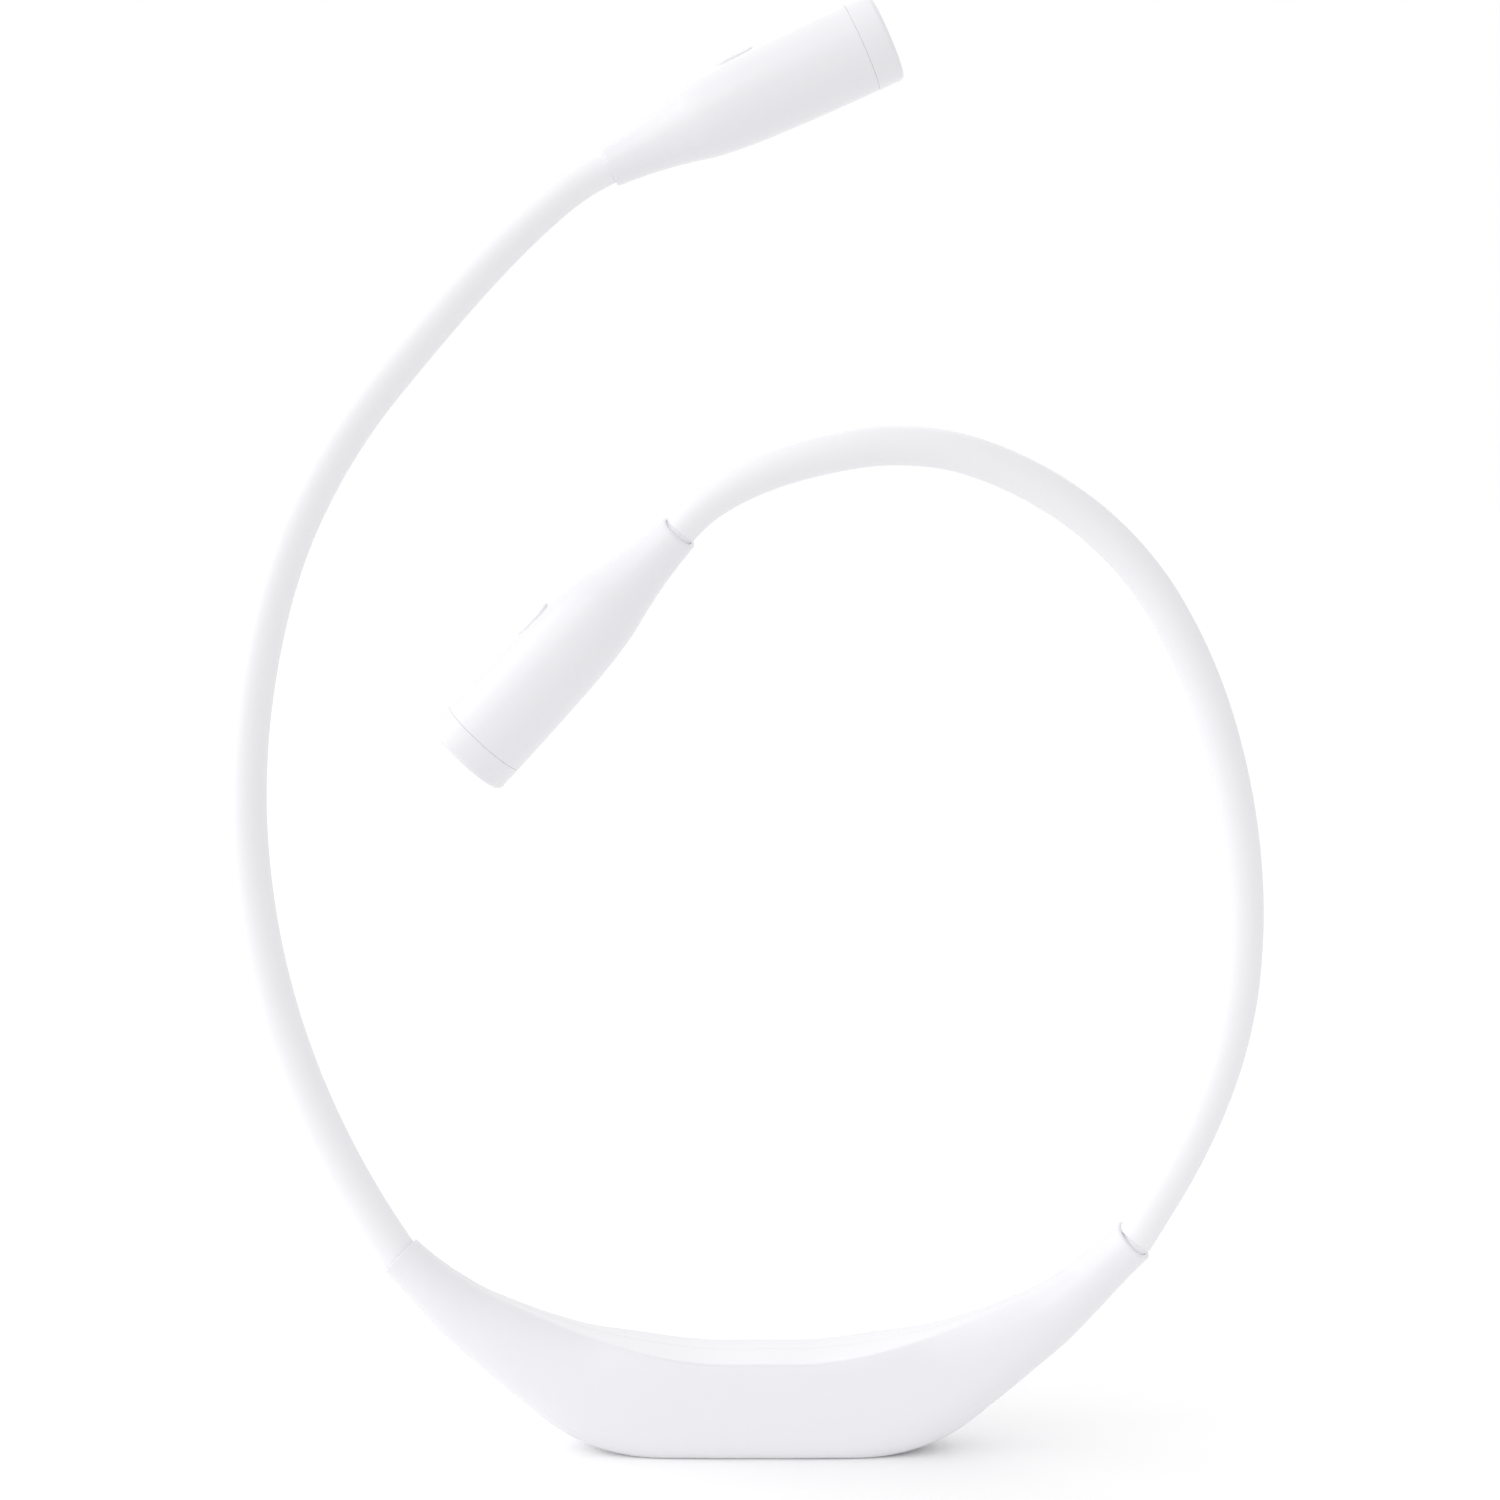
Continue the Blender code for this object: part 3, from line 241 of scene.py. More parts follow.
# %% Finishes inside
finish(
    "bright_plating", moulded, (0.90, 0.90, 0.91), (0.84, 0.845, 0.86), (0.05, 0.11), grain=700, bump=0.1,
    metal=1.0,
)
METAL = {"grain": 2600, "bump": 0.3, "metal": 1.0}
finish("steel", drawn, (0.66, 0.66, 0.67), (0.52, 0.52, 0.53), (0.24, 0.38), **METAL)
finish("brass", drawn, (0.80, 0.62, 0.34), (0.66, 0.49, 0.25), (0.26, 0.40), **METAL)
finish("wire_jacket", moulded, (0.05, 0.05, 0.052), (0.03, 0.03, 0.032), (0.40, 0.52), grain=2400)
finish(
    "cell_wrap", moulded, (0.10, 0.25, 0.56), (0.07, 0.19, 0.46), (0.26, 0.40), patches=240, grain=420,
    bump=0.4,
)
BOARD = {"patches": 900, "grain": 2200}
finish("circuit_board", moulded, (0.05, 0.27, 0.12), (0.02, 0.15, 0.07), (0.32, 0.48), **BOARD)
finish("white_board", moulded, (0.88, 0.88, 0.87), (0.84, 0.84, 0.83), (0.30, 0.42), **BOARD)
finish("switch_body", moulded, (0.035, 0.035, 0.037), (0.022, 0.022, 0.024), (0.42, 0.55))
finish(
    "led_phosphor", moulded, (0.97, 0.83, 0.32), (0.90, 0.70, 0.20), (0.40, 0.60), patches=1500, grain=6000,
    bump=0.5,
)
slots = {row["node"]: row["material_slot"] for row in frame["record"]["subparts"]}
slots["left_head_led_board"] = slots["right_head_led_board"] = "white_board"
for name, node in frame["nodes"].items():
    for place in node.material_slots:
        place.material = finishes[slots[name]]
print("finishes:", len(finishes), "used by the CAD nodes:", len(set(slots.values())))

# %% [markdown]
# ## Modelling helpers
#
# Nearly every piece here is one of three things: a turned piece, a tube that follows a line, or an oval
# bar. A turned piece is an outline spun round an axis. A tube could be a curve with a bevel, but then its
# bore, its taper and its ends are hard to set, so a flat grid is rolled up instead: its rows run along
# the line, its columns run round it, and the edges that meet are welded. An outline's corners are cut
# back and bridged by a short curve first, because a real moulding has no knife edges.

# %% From a bmesh to a piece
WELD = 0.0005 * MM


def make(name, bm, material, body=None, stands_for=(), sharp=32.0):
    """Turns a bmesh into a piece that rides on a body and stands for its CAD nodes."""
    mesh = bpy.data.meshes.new(name)
    bm.to_mesh(mesh)
    bm.free()
    mesh.shade_smooth()
    mesh.set_sharp_from_angle(angle=math.radians(sharp))
    mesh.materials.append(finishes[material])
    thing = bpy.data.objects.new(name, mesh)
    scene.collection.objects.link(thing)
    if body:
        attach(thing, body)
    if stands_for:
        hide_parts(*stands_for)
    return thing


def tidy(bm):
    bmesh.ops.remove_doubles(bm, verts=bm.verts, dist=WELD)
    bmesh.ops.recalc_face_normals(bm, faces=bm.faces)
    return bm


def moved(bm, matrix):
    bmesh.ops.transform(bm, matrix=matrix, verts=bm.verts)
    return bm


def close_ends(bm):
    bmesh.ops.holes_fill(bm, edges=[edge for edge in bm.edges if edge.is_boundary], sides=0)
    bmesh.ops.recalc_face_normals(bm, faces=bm.faces)
    return bm


def cut_across(bm, place, way, clear_outer=False):
    parts = list(bm.verts) + list(bm.edges) + list(bm.faces)
    bmesh.ops.bisect_plane(bm, geom=parts, dist=0.0, plane_co=place, plane_no=way, clear_outer=clear_outer)


print("points closer than", WELD / MM, "mm are welded")


# %% Turned and rolled pieces
def soften(points, radius, closed=True, steps=3):
    """Cuts an outline's corners back by the radius and bridges each with a short curve."""
    points = [Vector(point) for point in points]
    out = []
    for k, corner in enumerate(points):
        into = points[k - 1] - corner
        away = points[(k + 1) % len(points)] - corner
        at_end = not closed and k in (0, len(points) - 1)
        if at_end or into.angle(-away) < math.radians(16):
            out.append(corner)
            continue
        cut = min(radius, 0.4 * into.length, 0.4 * away.length)
        first, last = corner + into.normalized() * cut, corner + away.normalized() * cut
        for step in range(steps + 1):
            t = step / steps
            out.append(first * (1 - t) ** 2 + corner * (2 * t * (1 - t)) + last * t**2)
    return out


def turned(profile, sides, closed=True):
    """Spins an outline of (distance along X, radius) points round the X axis."""
    bm = bmesh.new()
    verts = [bm.verts.new((along, radius, 0)) for along, radius in profile]
    count = len(verts) if closed else len(verts) - 1
    edges = [bm.edges.new((verts[k], verts[(k + 1) % len(verts)])) for k in range(count)]
    full_turn = {"axis": (1, 0, 0), "cent": (0, 0, 0), "angle": math.tau, "use_merge": True}
    bmesh.ops.spin(bm, geom=verts + edges, steps=sides, **full_turn)
    return tidy(bm)


def rolled(rows, columns, place):
    """A flat grid, with each point moved to place(row, share of the way round)."""
    bm = bmesh.new()
    bmesh.ops.create_grid(bm, x_segments=rows, y_segments=columns, size=0.5)
    for v in bm.verts:
        v.co = place(round((v.co.x + 0.5) * rows), v.co.y + 0.5)
    return tidy(bm)


print("corner test:", len(soften([(0, 0), (1, 0), (1, 1), (0, 1)], 0.1)), "points round a square")


# %% Bars, rods and blocks
def oval(length, width, low, high, sides=48):
    """An upright bar with round ends, long in X: a circle is pulled apart and raised."""
    bm = bmesh.new()
    turn = Matrix.Rotation(math.pi / sides, 4, "Z")
    disc = bmesh.ops.create_circle(bm, cap_ends=True, segments=sides, radius=width / 2, matrix=turn)
    for v in disc["verts"]:
        v.co.x += math.copysign((length - width) / 2, v.co.x)
        v.co.z = low
    raised = bmesh.ops.extrude_face_region(bm, geom=list(bm.faces), use_keep_orig=True)["geom"]
    top = [v for v in raised if isinstance(v, bmesh.types.BMVert)]
    bmesh.ops.translate(bm, vec=(0, 0, high - low), verts=top)
    return tidy(bm)


def rod(start, end, radius, sides):
    bm = bmesh.new()
    along = Vector(end) - Vector(start)
    turn = along.to_track_quat("Z", "Y").to_matrix().to_4x4()
    place = Matrix.Translation((Vector(start) + Vector(end)) / 2) @ turn
    size = {"radius1": radius, "radius2": radius, "depth": along.length}
    bmesh.ops.create_cone(bm, cap_ends=True, segments=sides, matrix=place, **size)
    return bm


def add_block(bm, centre, size):
    place = Matrix.Translation(centre) @ Matrix.Diagonal((*size, 1))
    bmesh.ops.create_cube(bm, size=1, matrix=place)


def round_edges(bm, edges, width, segments=2):
    settings = {"offset_type": "OFFSET", "profile": 0.5, "affect": "EDGES", "material": -1}
    bmesh.ops.bevel(bm, geom=edges, offset=width, segments=segments, **settings)


test = oval(8 * MM, 5 * MM, 0.0, MM)
print("a bar with round ends has", len(test.faces), "faces")
test.free()


# %% Carving
def carve(bm, steps):
    """Adds or cuts away other shapes, one after the other, with exact Booleans."""
    things = []
    for k, shape in enumerate([bm] + [other for _, other in steps]):
        mesh = bpy.data.meshes.new(f"carving_{k}")
        shape.to_mesh(mesh)
        shape.free()
        things.append(bpy.data.objects.new(f"carving_{k}", mesh))
        scene.collection.objects.link(things[-1])
    for (operation, _), tool in zip(steps, things[1:]):
        modifier = things[0].modifiers.new(operation, "BOOLEAN")
        modifier.operation = operation
        modifier.solver = "EXACT"
        modifier.object = tool
    made = bmesh.new()
    made.from_object(things[0], bpy.context.evaluated_depsgraph_get())
    for thing in things:
        mesh = thing.data
        bpy.data.objects.remove(thing)
        bpy.data.meshes.remove(mesh)
    return tidy(made)


block = bmesh.new()
add_block(block, (0, 0, 0), (1, 1, 1))
test = carve(block, [("DIFFERENCE", rod((0, 0, -1), (0, 0, 1), 0.2, 6))])
print("a block with a six-sided hole has", len(test.faces), "faces")
test.free()


# %% Easing and smooth rows
def mix(a, b, share):
    return a + (b - a) * share


def ease(t):
    """Runs from 0 to 1 with a soft start and end, and stays there outside that range."""
    t = min(max(t, 0.0), 1.0)
    return t * t * (3 - 2 * t)


def curve_through(rows, steps):
    """Rows of numbers read along a smooth curve, with the given steps between rows."""
    rows = [Vector(row) for row in rows]
    ends = [2 * rows[0] - rows[1]] + rows + [2 * rows[-1] - rows[-2]]
    out = []
    for k in range(len(rows) - 1):
        a, b, c, d = ends[k : k + 4]
        for step in range(steps):
            t = step / steps
            bend = (2 * a - 5 * b + 4 * c - d) * t**2 + (3 * b - a - 3 * c + d) * t**3
            out.append(0.5 * (2 * b + (c - a) * t + bend))
    return out + [rows[-1]]


print("ease at a quarter:", ease(0.25))

# %% [markdown]
# ## The crescent housing
#
# The housing is two white shells, front and rear, that close on a battery. Its section changes all the
# way along: nearly square in the middle, round at the collars, and with a flat strip on top that narrows
# to a point at both ends like a leaf. A subdivided box would round that crisp strip away, so the section
# is worked out at each place along the crescent and the grid is rolled through those sections. Where the
# strip meets the side the corner is softened by a third of a millimetre, which catches the light as a
# thin line. The two shells close to a hairline, as on the real one, where hardly any seam shows.
#
# Each collar ends in a thin lip that is rounded on the outside and closes on the sleeve. Both end a little
# aslant, the right one more, and that one presses a shallow groove into the soft sleeve, so its rim shows
# as a dark line.

# %% Housing sizes
WALL = 1.6 * MM
HOUSING_DEPTH = 18.0 * MM
HOUSING_HEIGHT = 20.0 * MM
HALF_SPAN = 65.9 * MM
RISE = 23.3 * MM
SEAM_BACK = 2.0 * MM
HAIRLINE = 0.03 * MM
CREASE = 0.35 * MM
SECTION_STEPS = 14
ROWS_BETWEEN = 7

# Shares of the half span and of the rise, height and depth above the collar's, then the width of the flat
# strip and how square the section is, above and below
CRESCENT_SHARES = (
    (0.000, 0.000, 1.00, 1.00, 0.93, 11.0, 0.81, 7.0),
    (0.180, 0.002, 1.02, 1.00, 0.92, 10.5, 0.78, 7.0),
    (0.364, 0.032, 1.20, 0.98, 0.85, 6.2, 0.54, 4.6),
    (0.516, 0.137, 1.16, 0.90, 0.68, 3.4, 0.26, 3.1),
    (0.659, 0.341, 0.85, 0.70, 0.46, 2.5, 0.10, 2.5),
    (0.790, 0.562, 0.56, 0.48, 0.30, 2.2, 0.08, 2.25),
    (0.898, 0.761, 0.34, 0.28, 0.19, 2.05, 0.09, 2.1),
    (1.000, 1.000, 0.13, 0.11, 0.14, 2.0, 0.13, 2.0),
)
print("housing:", in_mm((HOUSING_DEPTH, HOUSING_HEIGHT)), "mm deep and tall in the middle")

# %% Collar sizes
COLLAR_ANGLE = math.radians(44)
COLLAR_LENGTHS = {"left": 10.0 * MM, "right": 14.4 * MM}
COLLAR_RADIUS = 4.55 * MM
COLLAR_FADE = 0.85
CHANNEL_RADIUS = 2.95 * MM
RECESS_RADIUS = 4.1 * MM
RECESS_DEPTH = 2.4 * MM
SLEEVE_RADIUS = 3.8 * MM
LIP_ROOM = 0.04 * MM
RIM_LEAN = {"left": 0.12, "right": 0.25}

# The share by which the sleeve is squeezed in at the collar and at the neck of the head
GROOVES = {"left": (0.0, 0.0), "right": (0.1, 0.065)}

# In millimetres, how far back from the rim of the collar, and how far its outside is rounded off there
LIP_ROWS = ((1.0, 0.0), (0.30, 0.0), (0.16, 0.03), (0.05, 0.10), (0.0, 0.18))
print("collars:", in_mm(COLLAR_LENGTHS.values()), "mm long")


# %% Housing sections
class Section:
    """One cross-section of the crescent."""

    def __init__(self, row):
        self.share, rise, tall, deep = row[:4]
        self.above, self.below = row[4:6], row[6:8]
        self.centre = Vector((self.share * HALF_SPAN, 0, HOUSING_HEIGHT / 2 + rise * RISE))
        self.half_height = mix(COLLAR_RADIUS, HOUSING_HEIGHT / 2, tall)
        self.half_depth = mix(COLLAR_RADIUS, HOUSING_DEPTH / 2, deep)
        self.seam = SEAM_BACK * max(0.0, 1 - self.share**2) ** 2
        self.bore = None
        self.lip = 0.0
        self.lean = 0.0

    def outline(self, side, inner):
        """Half of the section from the seam on top round to the seam below, outside or inside."""
        bored = inner and self.bore
        inset = WALL if inner else self.lip
        tall = self.bore if bored else self.half_height - inset
        deep = self.bore if bored else self.half_depth - inset
        floor = WALL if inner and not bored else 0.0
        up = -DEPTH.cross(self.along)
        seam = side * HAIRLINE + self.seam
        flat = [(seam, tall)]
        for way, (strip, square) in ((1, self.above), (-1, self.below)):
            square = 2.0 if bored else square
            start = math.acos(strip ** (square / 2))
            reach = tall / (1 - strip**square) ** (1 / square)
            arc = []
            for k in range(SECTION_STEPS):
                angle = start * (1 - k / SECTION_STEPS)
                across = deep * math.cos(angle) ** (2 / square)
                arc.append((side * across, way * reach * math.sin(angle) ** (2 / square)))
            flat += arc if way > 0 else [(side * deep, 0.0)] + arc[::-1]
        flat.append((seam, -tall))
        crease = min(CREASE, 0.3 * self.above[0] * deep)
        corner = Vector(flat[1])
        to_strip = (Vector(flat[0]) - corner).normalized() * crease
        to_side = (Vector(flat[2]) - corner).normalized() * crease
        flat[1:2] = [corner + to_strip * (1 - t) ** 2 + to_side * t**2 for t in (0, 0.25, 0.5, 0.75, 1)]
        places = [self.centre + DEPTH * across + up * height for across, height in flat]
        for place in places:
            place.z = max(place.z, floor)
            place += self.along * self.lean * place.y
        return places


def collar_way(side):
    return Vector((side * math.cos(COLLAR_ANGLE), 0, math.sin(COLLAR_ANGLE)))


def collar_sections(side, name, start):
    """The sections of one collar, from the crescent's end out to the rim."""
    way = collar_way(side)
    length = COLLAR_LENGTHS[name]
    recess = length - RECESS_DEPTH
    lip_bore = SLEEVE_RADIUS * (1 - GROOVES[name][0]) + LIP_ROOM
    plan = [(recess * share, CHANNEL_RADIUS, 0.0) for share in (0.2, 0.4, 0.6, 0.8, 1.0)]
    plan += [(recess + 0.05 * MM, RECESS_RADIUS, 0.0), (length - 1.05 * MM, RECESS_RADIUS, 0.0)]
    plan += [(length - back * MM, lip_bore + lip * MM / 3, lip * MM) for back, lip in LIP_ROWS]
    last = CRESCENT_SHARES[-1]
    out = []
    for distance, bore, lip in plan:
        swell = max(0.0, 1 - distance / (COLLAR_FADE * length)) ** 1.5
        section = Section((side, 1.0, last[2] * swell, last[3] * swell, *last[4:]))
        section.centre = start + way * distance
        section.bore, section.lip = bore, lip
        section.lean = RIM_LEAN[name] * ease((distance - length + 2 * MM) / MM)
        out.append(section)
    return out


def crescent():
    """All sections from the left rim to the right rim, each square to the line of their centres."""
    half = [list(row) for row in CRESCENT_SHARES]
    rows = [[-row[0]] + row[1:] for row in half[:0:-1]] + half
    middle = [Section(row) for row in curve_through(rows, ROWS_BETWEEN)]
    left = collar_sections(-1, "left", middle[0].centre)
    right = collar_sections(1, "right", middle[-1].centre)
    made = left[::-1] + middle + right
    for k, section in enumerate(made):
        after = made[min(k + 1, len(made) - 1)].centre
        section.along = (after - made[max(k - 1, 0)].centre).normalized()
    return made


sections = crescent()
print("sections:", len(sections), "from", in_mm(sections[0].centre), "to", in_mm(sections[-1].centre))


# %% Housing shells
def shell(side):
    rings = []
    for section in sections:
        ring = section.outline(side, False) + section.outline(side, True)[::-1]
        rings.append(ring + ring[:1])
    columns = len(rings[0]) - 1
    return close_ends(rolled(len(rings) - 1, columns, lambda row, share: rings[row][round(share * columns)]))


front = make("front_housing", shell(-1), "white_plastic", "housing", ["housing_front_shell"], sharp=26)
print("front shell:", len(front.data.polygons), "faces")

# %% [markdown]
# ## The rear face: screws, charging socket and charge light
#
# Turned away from the camera are the two screws that hold the shells together, sunk in round wells, and
# the charging socket with a small light beside it. A well could be modelled into the shell's grid, but the
# grid follows the crescent and the wells don't, so they are cut with exact Booleans: first a boss is added
# inside the shell, then the well is cut down into it. The openings for the socket and the light follow.

# %% Openings of the rear shell
ROOM = 0.3 * MM
SCREW_HEAD_RADIUS = 1.9 * MM
SCREW_HEAD_HEIGHT = 1.4 * MM
SCREW_HOLE_RADIUS = 1.3 * MM
WELL_RADIUS = 2.2 * MM
BOSS_WALL = 0.7 * MM
BOSS_PAST_HEAD = 1.2 * MM
LIGHT_ROOM = 0.12 * MM
screws = {side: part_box(f"{side}_housing_screw") for side in ("left", "right")}
steps = []
for low, high in screws.values():
    x, z = (low.x + high.x) / 2, (low.z + high.z) / 2
    seat = high.y - SCREW_HEAD_HEIGHT - ROOM
    boss = rod((x, SEAM_BACK, z), (x, high.y + BOSS_PAST_HEAD, z), WELL_RADIUS + BOSS_WALL, 40)
    steps.append(("UNION", boss))
    steps.append(("DIFFERENCE", rod((x, 0, z), (x, high.y, z), SCREW_HOLE_RADIUS, 32)))
    steps.append(("DIFFERENCE", rod((x, seat, z), (x, high.y + 8 * MM, z), WELL_RADIUS, 48)))
socket_low, socket_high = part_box("charging_socket")
socket_middle = (socket_low + socket_high) / 2
port_size = (socket_high.x - socket_low.x, socket_high.z - socket_low.z)
at_port = Matrix.Translation((socket_middle.x, socket_high.y, socket_middle.z))
upright = at_port @ Matrix.Rotation(-math.pi / 2, 4, "X")
port = oval(port_size[0] + 2 * ROOM, port_size[1] + 2 * ROOM, -3.2 * MM, 3.0 * MM)
steps.append(("DIFFERENCE", moved(port, upright)))
pipe_low, pipe_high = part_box("charge_light")
pipe_middle = (pipe_low + pipe_high) / 2
pipe_radius = (pipe_high.x - pipe_low.x) / 2
pipe_start = (pipe_middle.x, pipe_low.y, pipe_middle.z)
pipe_end = (pipe_middle.x, pipe_high.y + MM, pipe_middle.z)
steps.append(("DIFFERENCE", rod(pipe_start, pipe_end, pipe_radius + LIGHT_ROOM, 32)))
carved = carve(shell(1), steps)
rear = make("rear_housing", carved, "white_plastic", "housing", ["housing_rear_shell"], sharp=26)
print("rear shell:", len(rear.data.polygons), "faces, carved in", len(steps), "steps")

# %% Screws
THREAD_TURNS = 9
THREAD_START = 1.2 * MM
THREAD_ROOT = 0.72 * MM
THREAD_CREST = 0.98 * MM


def facing_back(x, z):
    """Turns what was spun round X so that it points to the rear."""
    return Matrix.Translation((x, 0, z)) @ Matrix.Rotation(math.pi / 2, 4, "Z")


for side, (low, high) in screws.items():
    x, z = (low.x + high.x) / 2, (low.z + high.z) / 2
    under = high.y - SCREW_HEAD_HEIGHT
    pitch = (under - low.y - THREAD_START) / THREAD_TURNS
    shank = [(low.y, 0), (low.y + 0.8 * MM, 0.55 * MM)]
    for k in range(THREAD_TURNS):
        start = mix(low.y + THREAD_START, under, k / THREAD_TURNS)
        shank.append((start, THREAD_ROOT))
        shank += [(start + pitch * share, THREAD_CREST) for share in (0.45, 0.6)]
    head = [(under, 0.75 * MM), (under, SCREW_HEAD_RADIUS), (high.y, SCREW_HEAD_RADIUS), (high.y, 0)]
    screw = turned(shank + soften(head, 0.3 * MM, closed=False), 40, closed=False)
    key = rod((high.y - 0.8 * MM, 0, 0), (high.y + MM, 0, 0), 0.9 * MM, 6)
    screw = moved(carve(screw, [("DIFFERENCE", key)]), facing_back(x, z))
    made = make(f"{side}_screw", screw, "steel", "housing", [f"{side}_housing_screw"])
    print(made.name, "head", round(2 * SCREW_HEAD_RADIUS / MM, 1), "mm across")

# %% Charging socket
SOCKET_WALLS = 0.6 * MM
TONGUE_SIZE = (6.7 * MM, 0.7 * MM, 5.1 * MM)
CONTACT_SIZE = (0.26 * MM, 0.06 * MM, 3.4 * MM)
length = socket_high.y - socket_low.y
bore = oval(port_size[0] - SOCKET_WALLS, port_size[1] - SOCKET_WALLS, 1.2 * MM - length, MM)
case = carve(oval(*port_size, -length, 0.0), [("DIFFERENCE", bore)])


def at_opening(edge):
    return edge.is_manifold and edge.calc_face_angle() > 1 and min(v.co.z for v in edge.verts) > -MM / 10


round_edges(case, [edge for edge in case.edges if at_opening(edge)], 0.08 * MM)
tongue = bmesh.new()
add_block(tongue, (0, 0, -1.0 * MM - TONGUE_SIZE[2] / 2), TONGUE_SIZE)
round_edges(tongue, list(tongue.edges), 0.12 * MM)
make("socket_shell", moved(case, upright), "steel", "housing", ["charging_socket"])
make("socket_tongue", moved(tongue, upright), "switch_body", "housing")
contacts = bmesh.new()
for k in range(12):
    for level in (-0.37, 0.37):
        add_block(contacts, Vector(((k - 5.5) * 0.5, level, -3.2)) * MM, CONTACT_SIZE)
make("socket_contacts", moved(contacts, upright), "brass", "housing")
print("socket:", in_mm(port_size), "mm")

# %% Charge light
dome = 0.1 * MM
rim = pipe_high.y - dome
glow = [(pipe_low.y, 0), (pipe_low.y, pipe_radius), (rim, pipe_radius)]
glow += [(rim + dome * math.sin(a), pipe_radius * math.cos(a)) for a in (0.4, 0.8, 1.2)]
glow = moved(turned(glow + [(pipe_high.y, 0)], 32, closed=False), facing_back(pipe_middle.x, pipe_middle.z))
make("charge_light_pipe", glow, "frosted_lens", "housing", ["charge_light"])
print("charge light:", in_mm([2 * pipe_radius]), "mm across")

# %% [markdown]
# ## The arms
#
# An arm is a steel gooseneck, a tube of wound wire that stays where it is bent, inside a soft white
# sleeve. The photograph shows both arms as they were left by hand, with slow uneven bends. Each arm is
# walked from its collar in small even steps, turning to a heading given in degrees at shares of its
# length, so its length is exact whatever its shape. A spline through picked points would follow the
# photograph too, but its length would be whatever came out, and both arms are the same piece.
#
# Just before the head the photograph shows each arm turn later and more sharply than that walk does. So
# the line swells outward there by a small hump that starts and ends at nothing, and the neck stays put.

# %% Arm sizes
ARM_LENGTH = 261.6 * MM
WALK_STEPS = 250
BEND_SHARES = (0.0, 0.05, 0.15, 0.25, 0.35, 0.45, 0.55, 0.65, 0.75, 0.85, 0.95, 1.0)
ARM_ANGLES = {
    "left": (124, 120.5, 112.5, 103.5, 94.5, 84.5, 75.5, 62.5, 50.5, 47, 40, 27),
    "right": (59, 60, 72, 87, 98, 108, 121, 142, 161.5, 194, 207, 218.5),
}
HEAD_ANGLES = {"left": 24.5, "right": 227.0}
SET_BACKS = {"left": 14.0 * MM, "right": -12.0 * MM}
SWELLS = {"left": 0.45 * MM, "right": 1.65 * MM}
SWELL_STARTS = {"left": 0.74, "right": 0.79}
SWELL_PEAK = 4 / 27
JOINT_SHARES = (0.10, 0.36, 0.62, 0.89)
HEAD_LENGTH = 61.0 * MM
COLLAR_STEPS = 8
HEAD_STEPS = 40


class Line:
    """A line through close points, read by the distance along it."""

    def __init__(self, points):
        self.points = points
        self.marks = [0.0]
        for a, b in zip(points, points[1:]):
            self.marks.append(self.marks[-1] + (b - a).length)

    def point(self, distance):
        k = min(max(bisect.bisect_right(self.marks, distance) - 1, 0), len(self.marks) - 2)
        share = (distance - self.marks[k]) / (self.marks[k + 1] - self.marks[k])
        return self.points[k].lerp(self.points[k + 1], share)

    def heading(self, distance):
        return (self.point(distance + MM) - self.point(distance - MM)).normalized()


print("arm length from root to neck:", round(ARM_LENGTH / MM, 1), "mm")


# %% Arm lines
def heading_at(angle):
    return Vector((math.cos(math.radians(angle)), 0, math.sin(math.radians(angle))))


def walk(name, side, place, length):
    """The free part of an arm, from the collar's rim to the neck of the head."""
    points = []
    for k in range(WALK_STEPS + 1):
        after = min((k + 0.5) / WALK_STEPS, 1.0)
        span = max(n for n in range(len(BEND_SHARES) - 1) if BEND_SHARES[n] <= after)
        part = (after - BEND_SHARES[span]) / (BEND_SHARES[span + 1] - BEND_SHARES[span])
        angle = mix(ARM_ANGLES[name][span], ARM_ANGLES[name][span + 1], part)
        late = max(k / WALK_STEPS - SWELL_STARTS[name], 0.0) / (1 - SWELL_STARTS[name])
        swell = SWELLS[name] * late**2 * (1 - late) / SWELL_PEAK
        set_back = DEPTH * SET_BACKS[name] * ease(k / WALK_STEPS)
        points.append(place + (heading_at(angle - 90 * side) * swell + set_back))
        place = place + heading_at(angle) * length / WALK_STEPS
    return points


class Arm:
    """The line of one arm, and where its sleeve starts, bends and ends."""

    def __init__(self, name, side):
        self.name, self.side = name, side
        way = collar_way(side)
        root = Vector((side * HALF_SPAN, 0, HOUSING_HEIGHT / 2 + RISE))
        collar = COLLAR_LENGTHS[name]
        low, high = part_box(f"{name}_anchor_ferrule")
        anchor = (low + high) / 2
        lead = [anchor - way * 3.0 * MM, anchor, root]
        lead += [root + way * collar * k / COLLAR_STEPS for k in range(1, COLLAR_STEPS + 1)]
        free = walk(name, side, lead[-1], ARM_LENGTH - collar)
        self.neck = free[-1]
        self.along = heading_at(HEAD_ANGLES[name])
        tail = [self.neck + self.along * HEAD_LENGTH * k / HEAD_STEPS for k in range(1, HEAD_STEPS + 1)]
        self.line = Line(lead + free[1:] + tail)
        self.mouth = Line(lead).marks[-1]
        self.tip = self.line.marks[len(lead) + WALK_STEPS - 1]
        self.free = self.tip - self.mouth
        self.bends = [self.mouth + share * self.free for share in JOINT_SHARES]


arms = [Arm("left", -1), Arm("right", 1)]
for arm in arms:
    print(arm.name, "neck at", in_mm(arm.neck), "free length", round(arm.free / MM, 1))
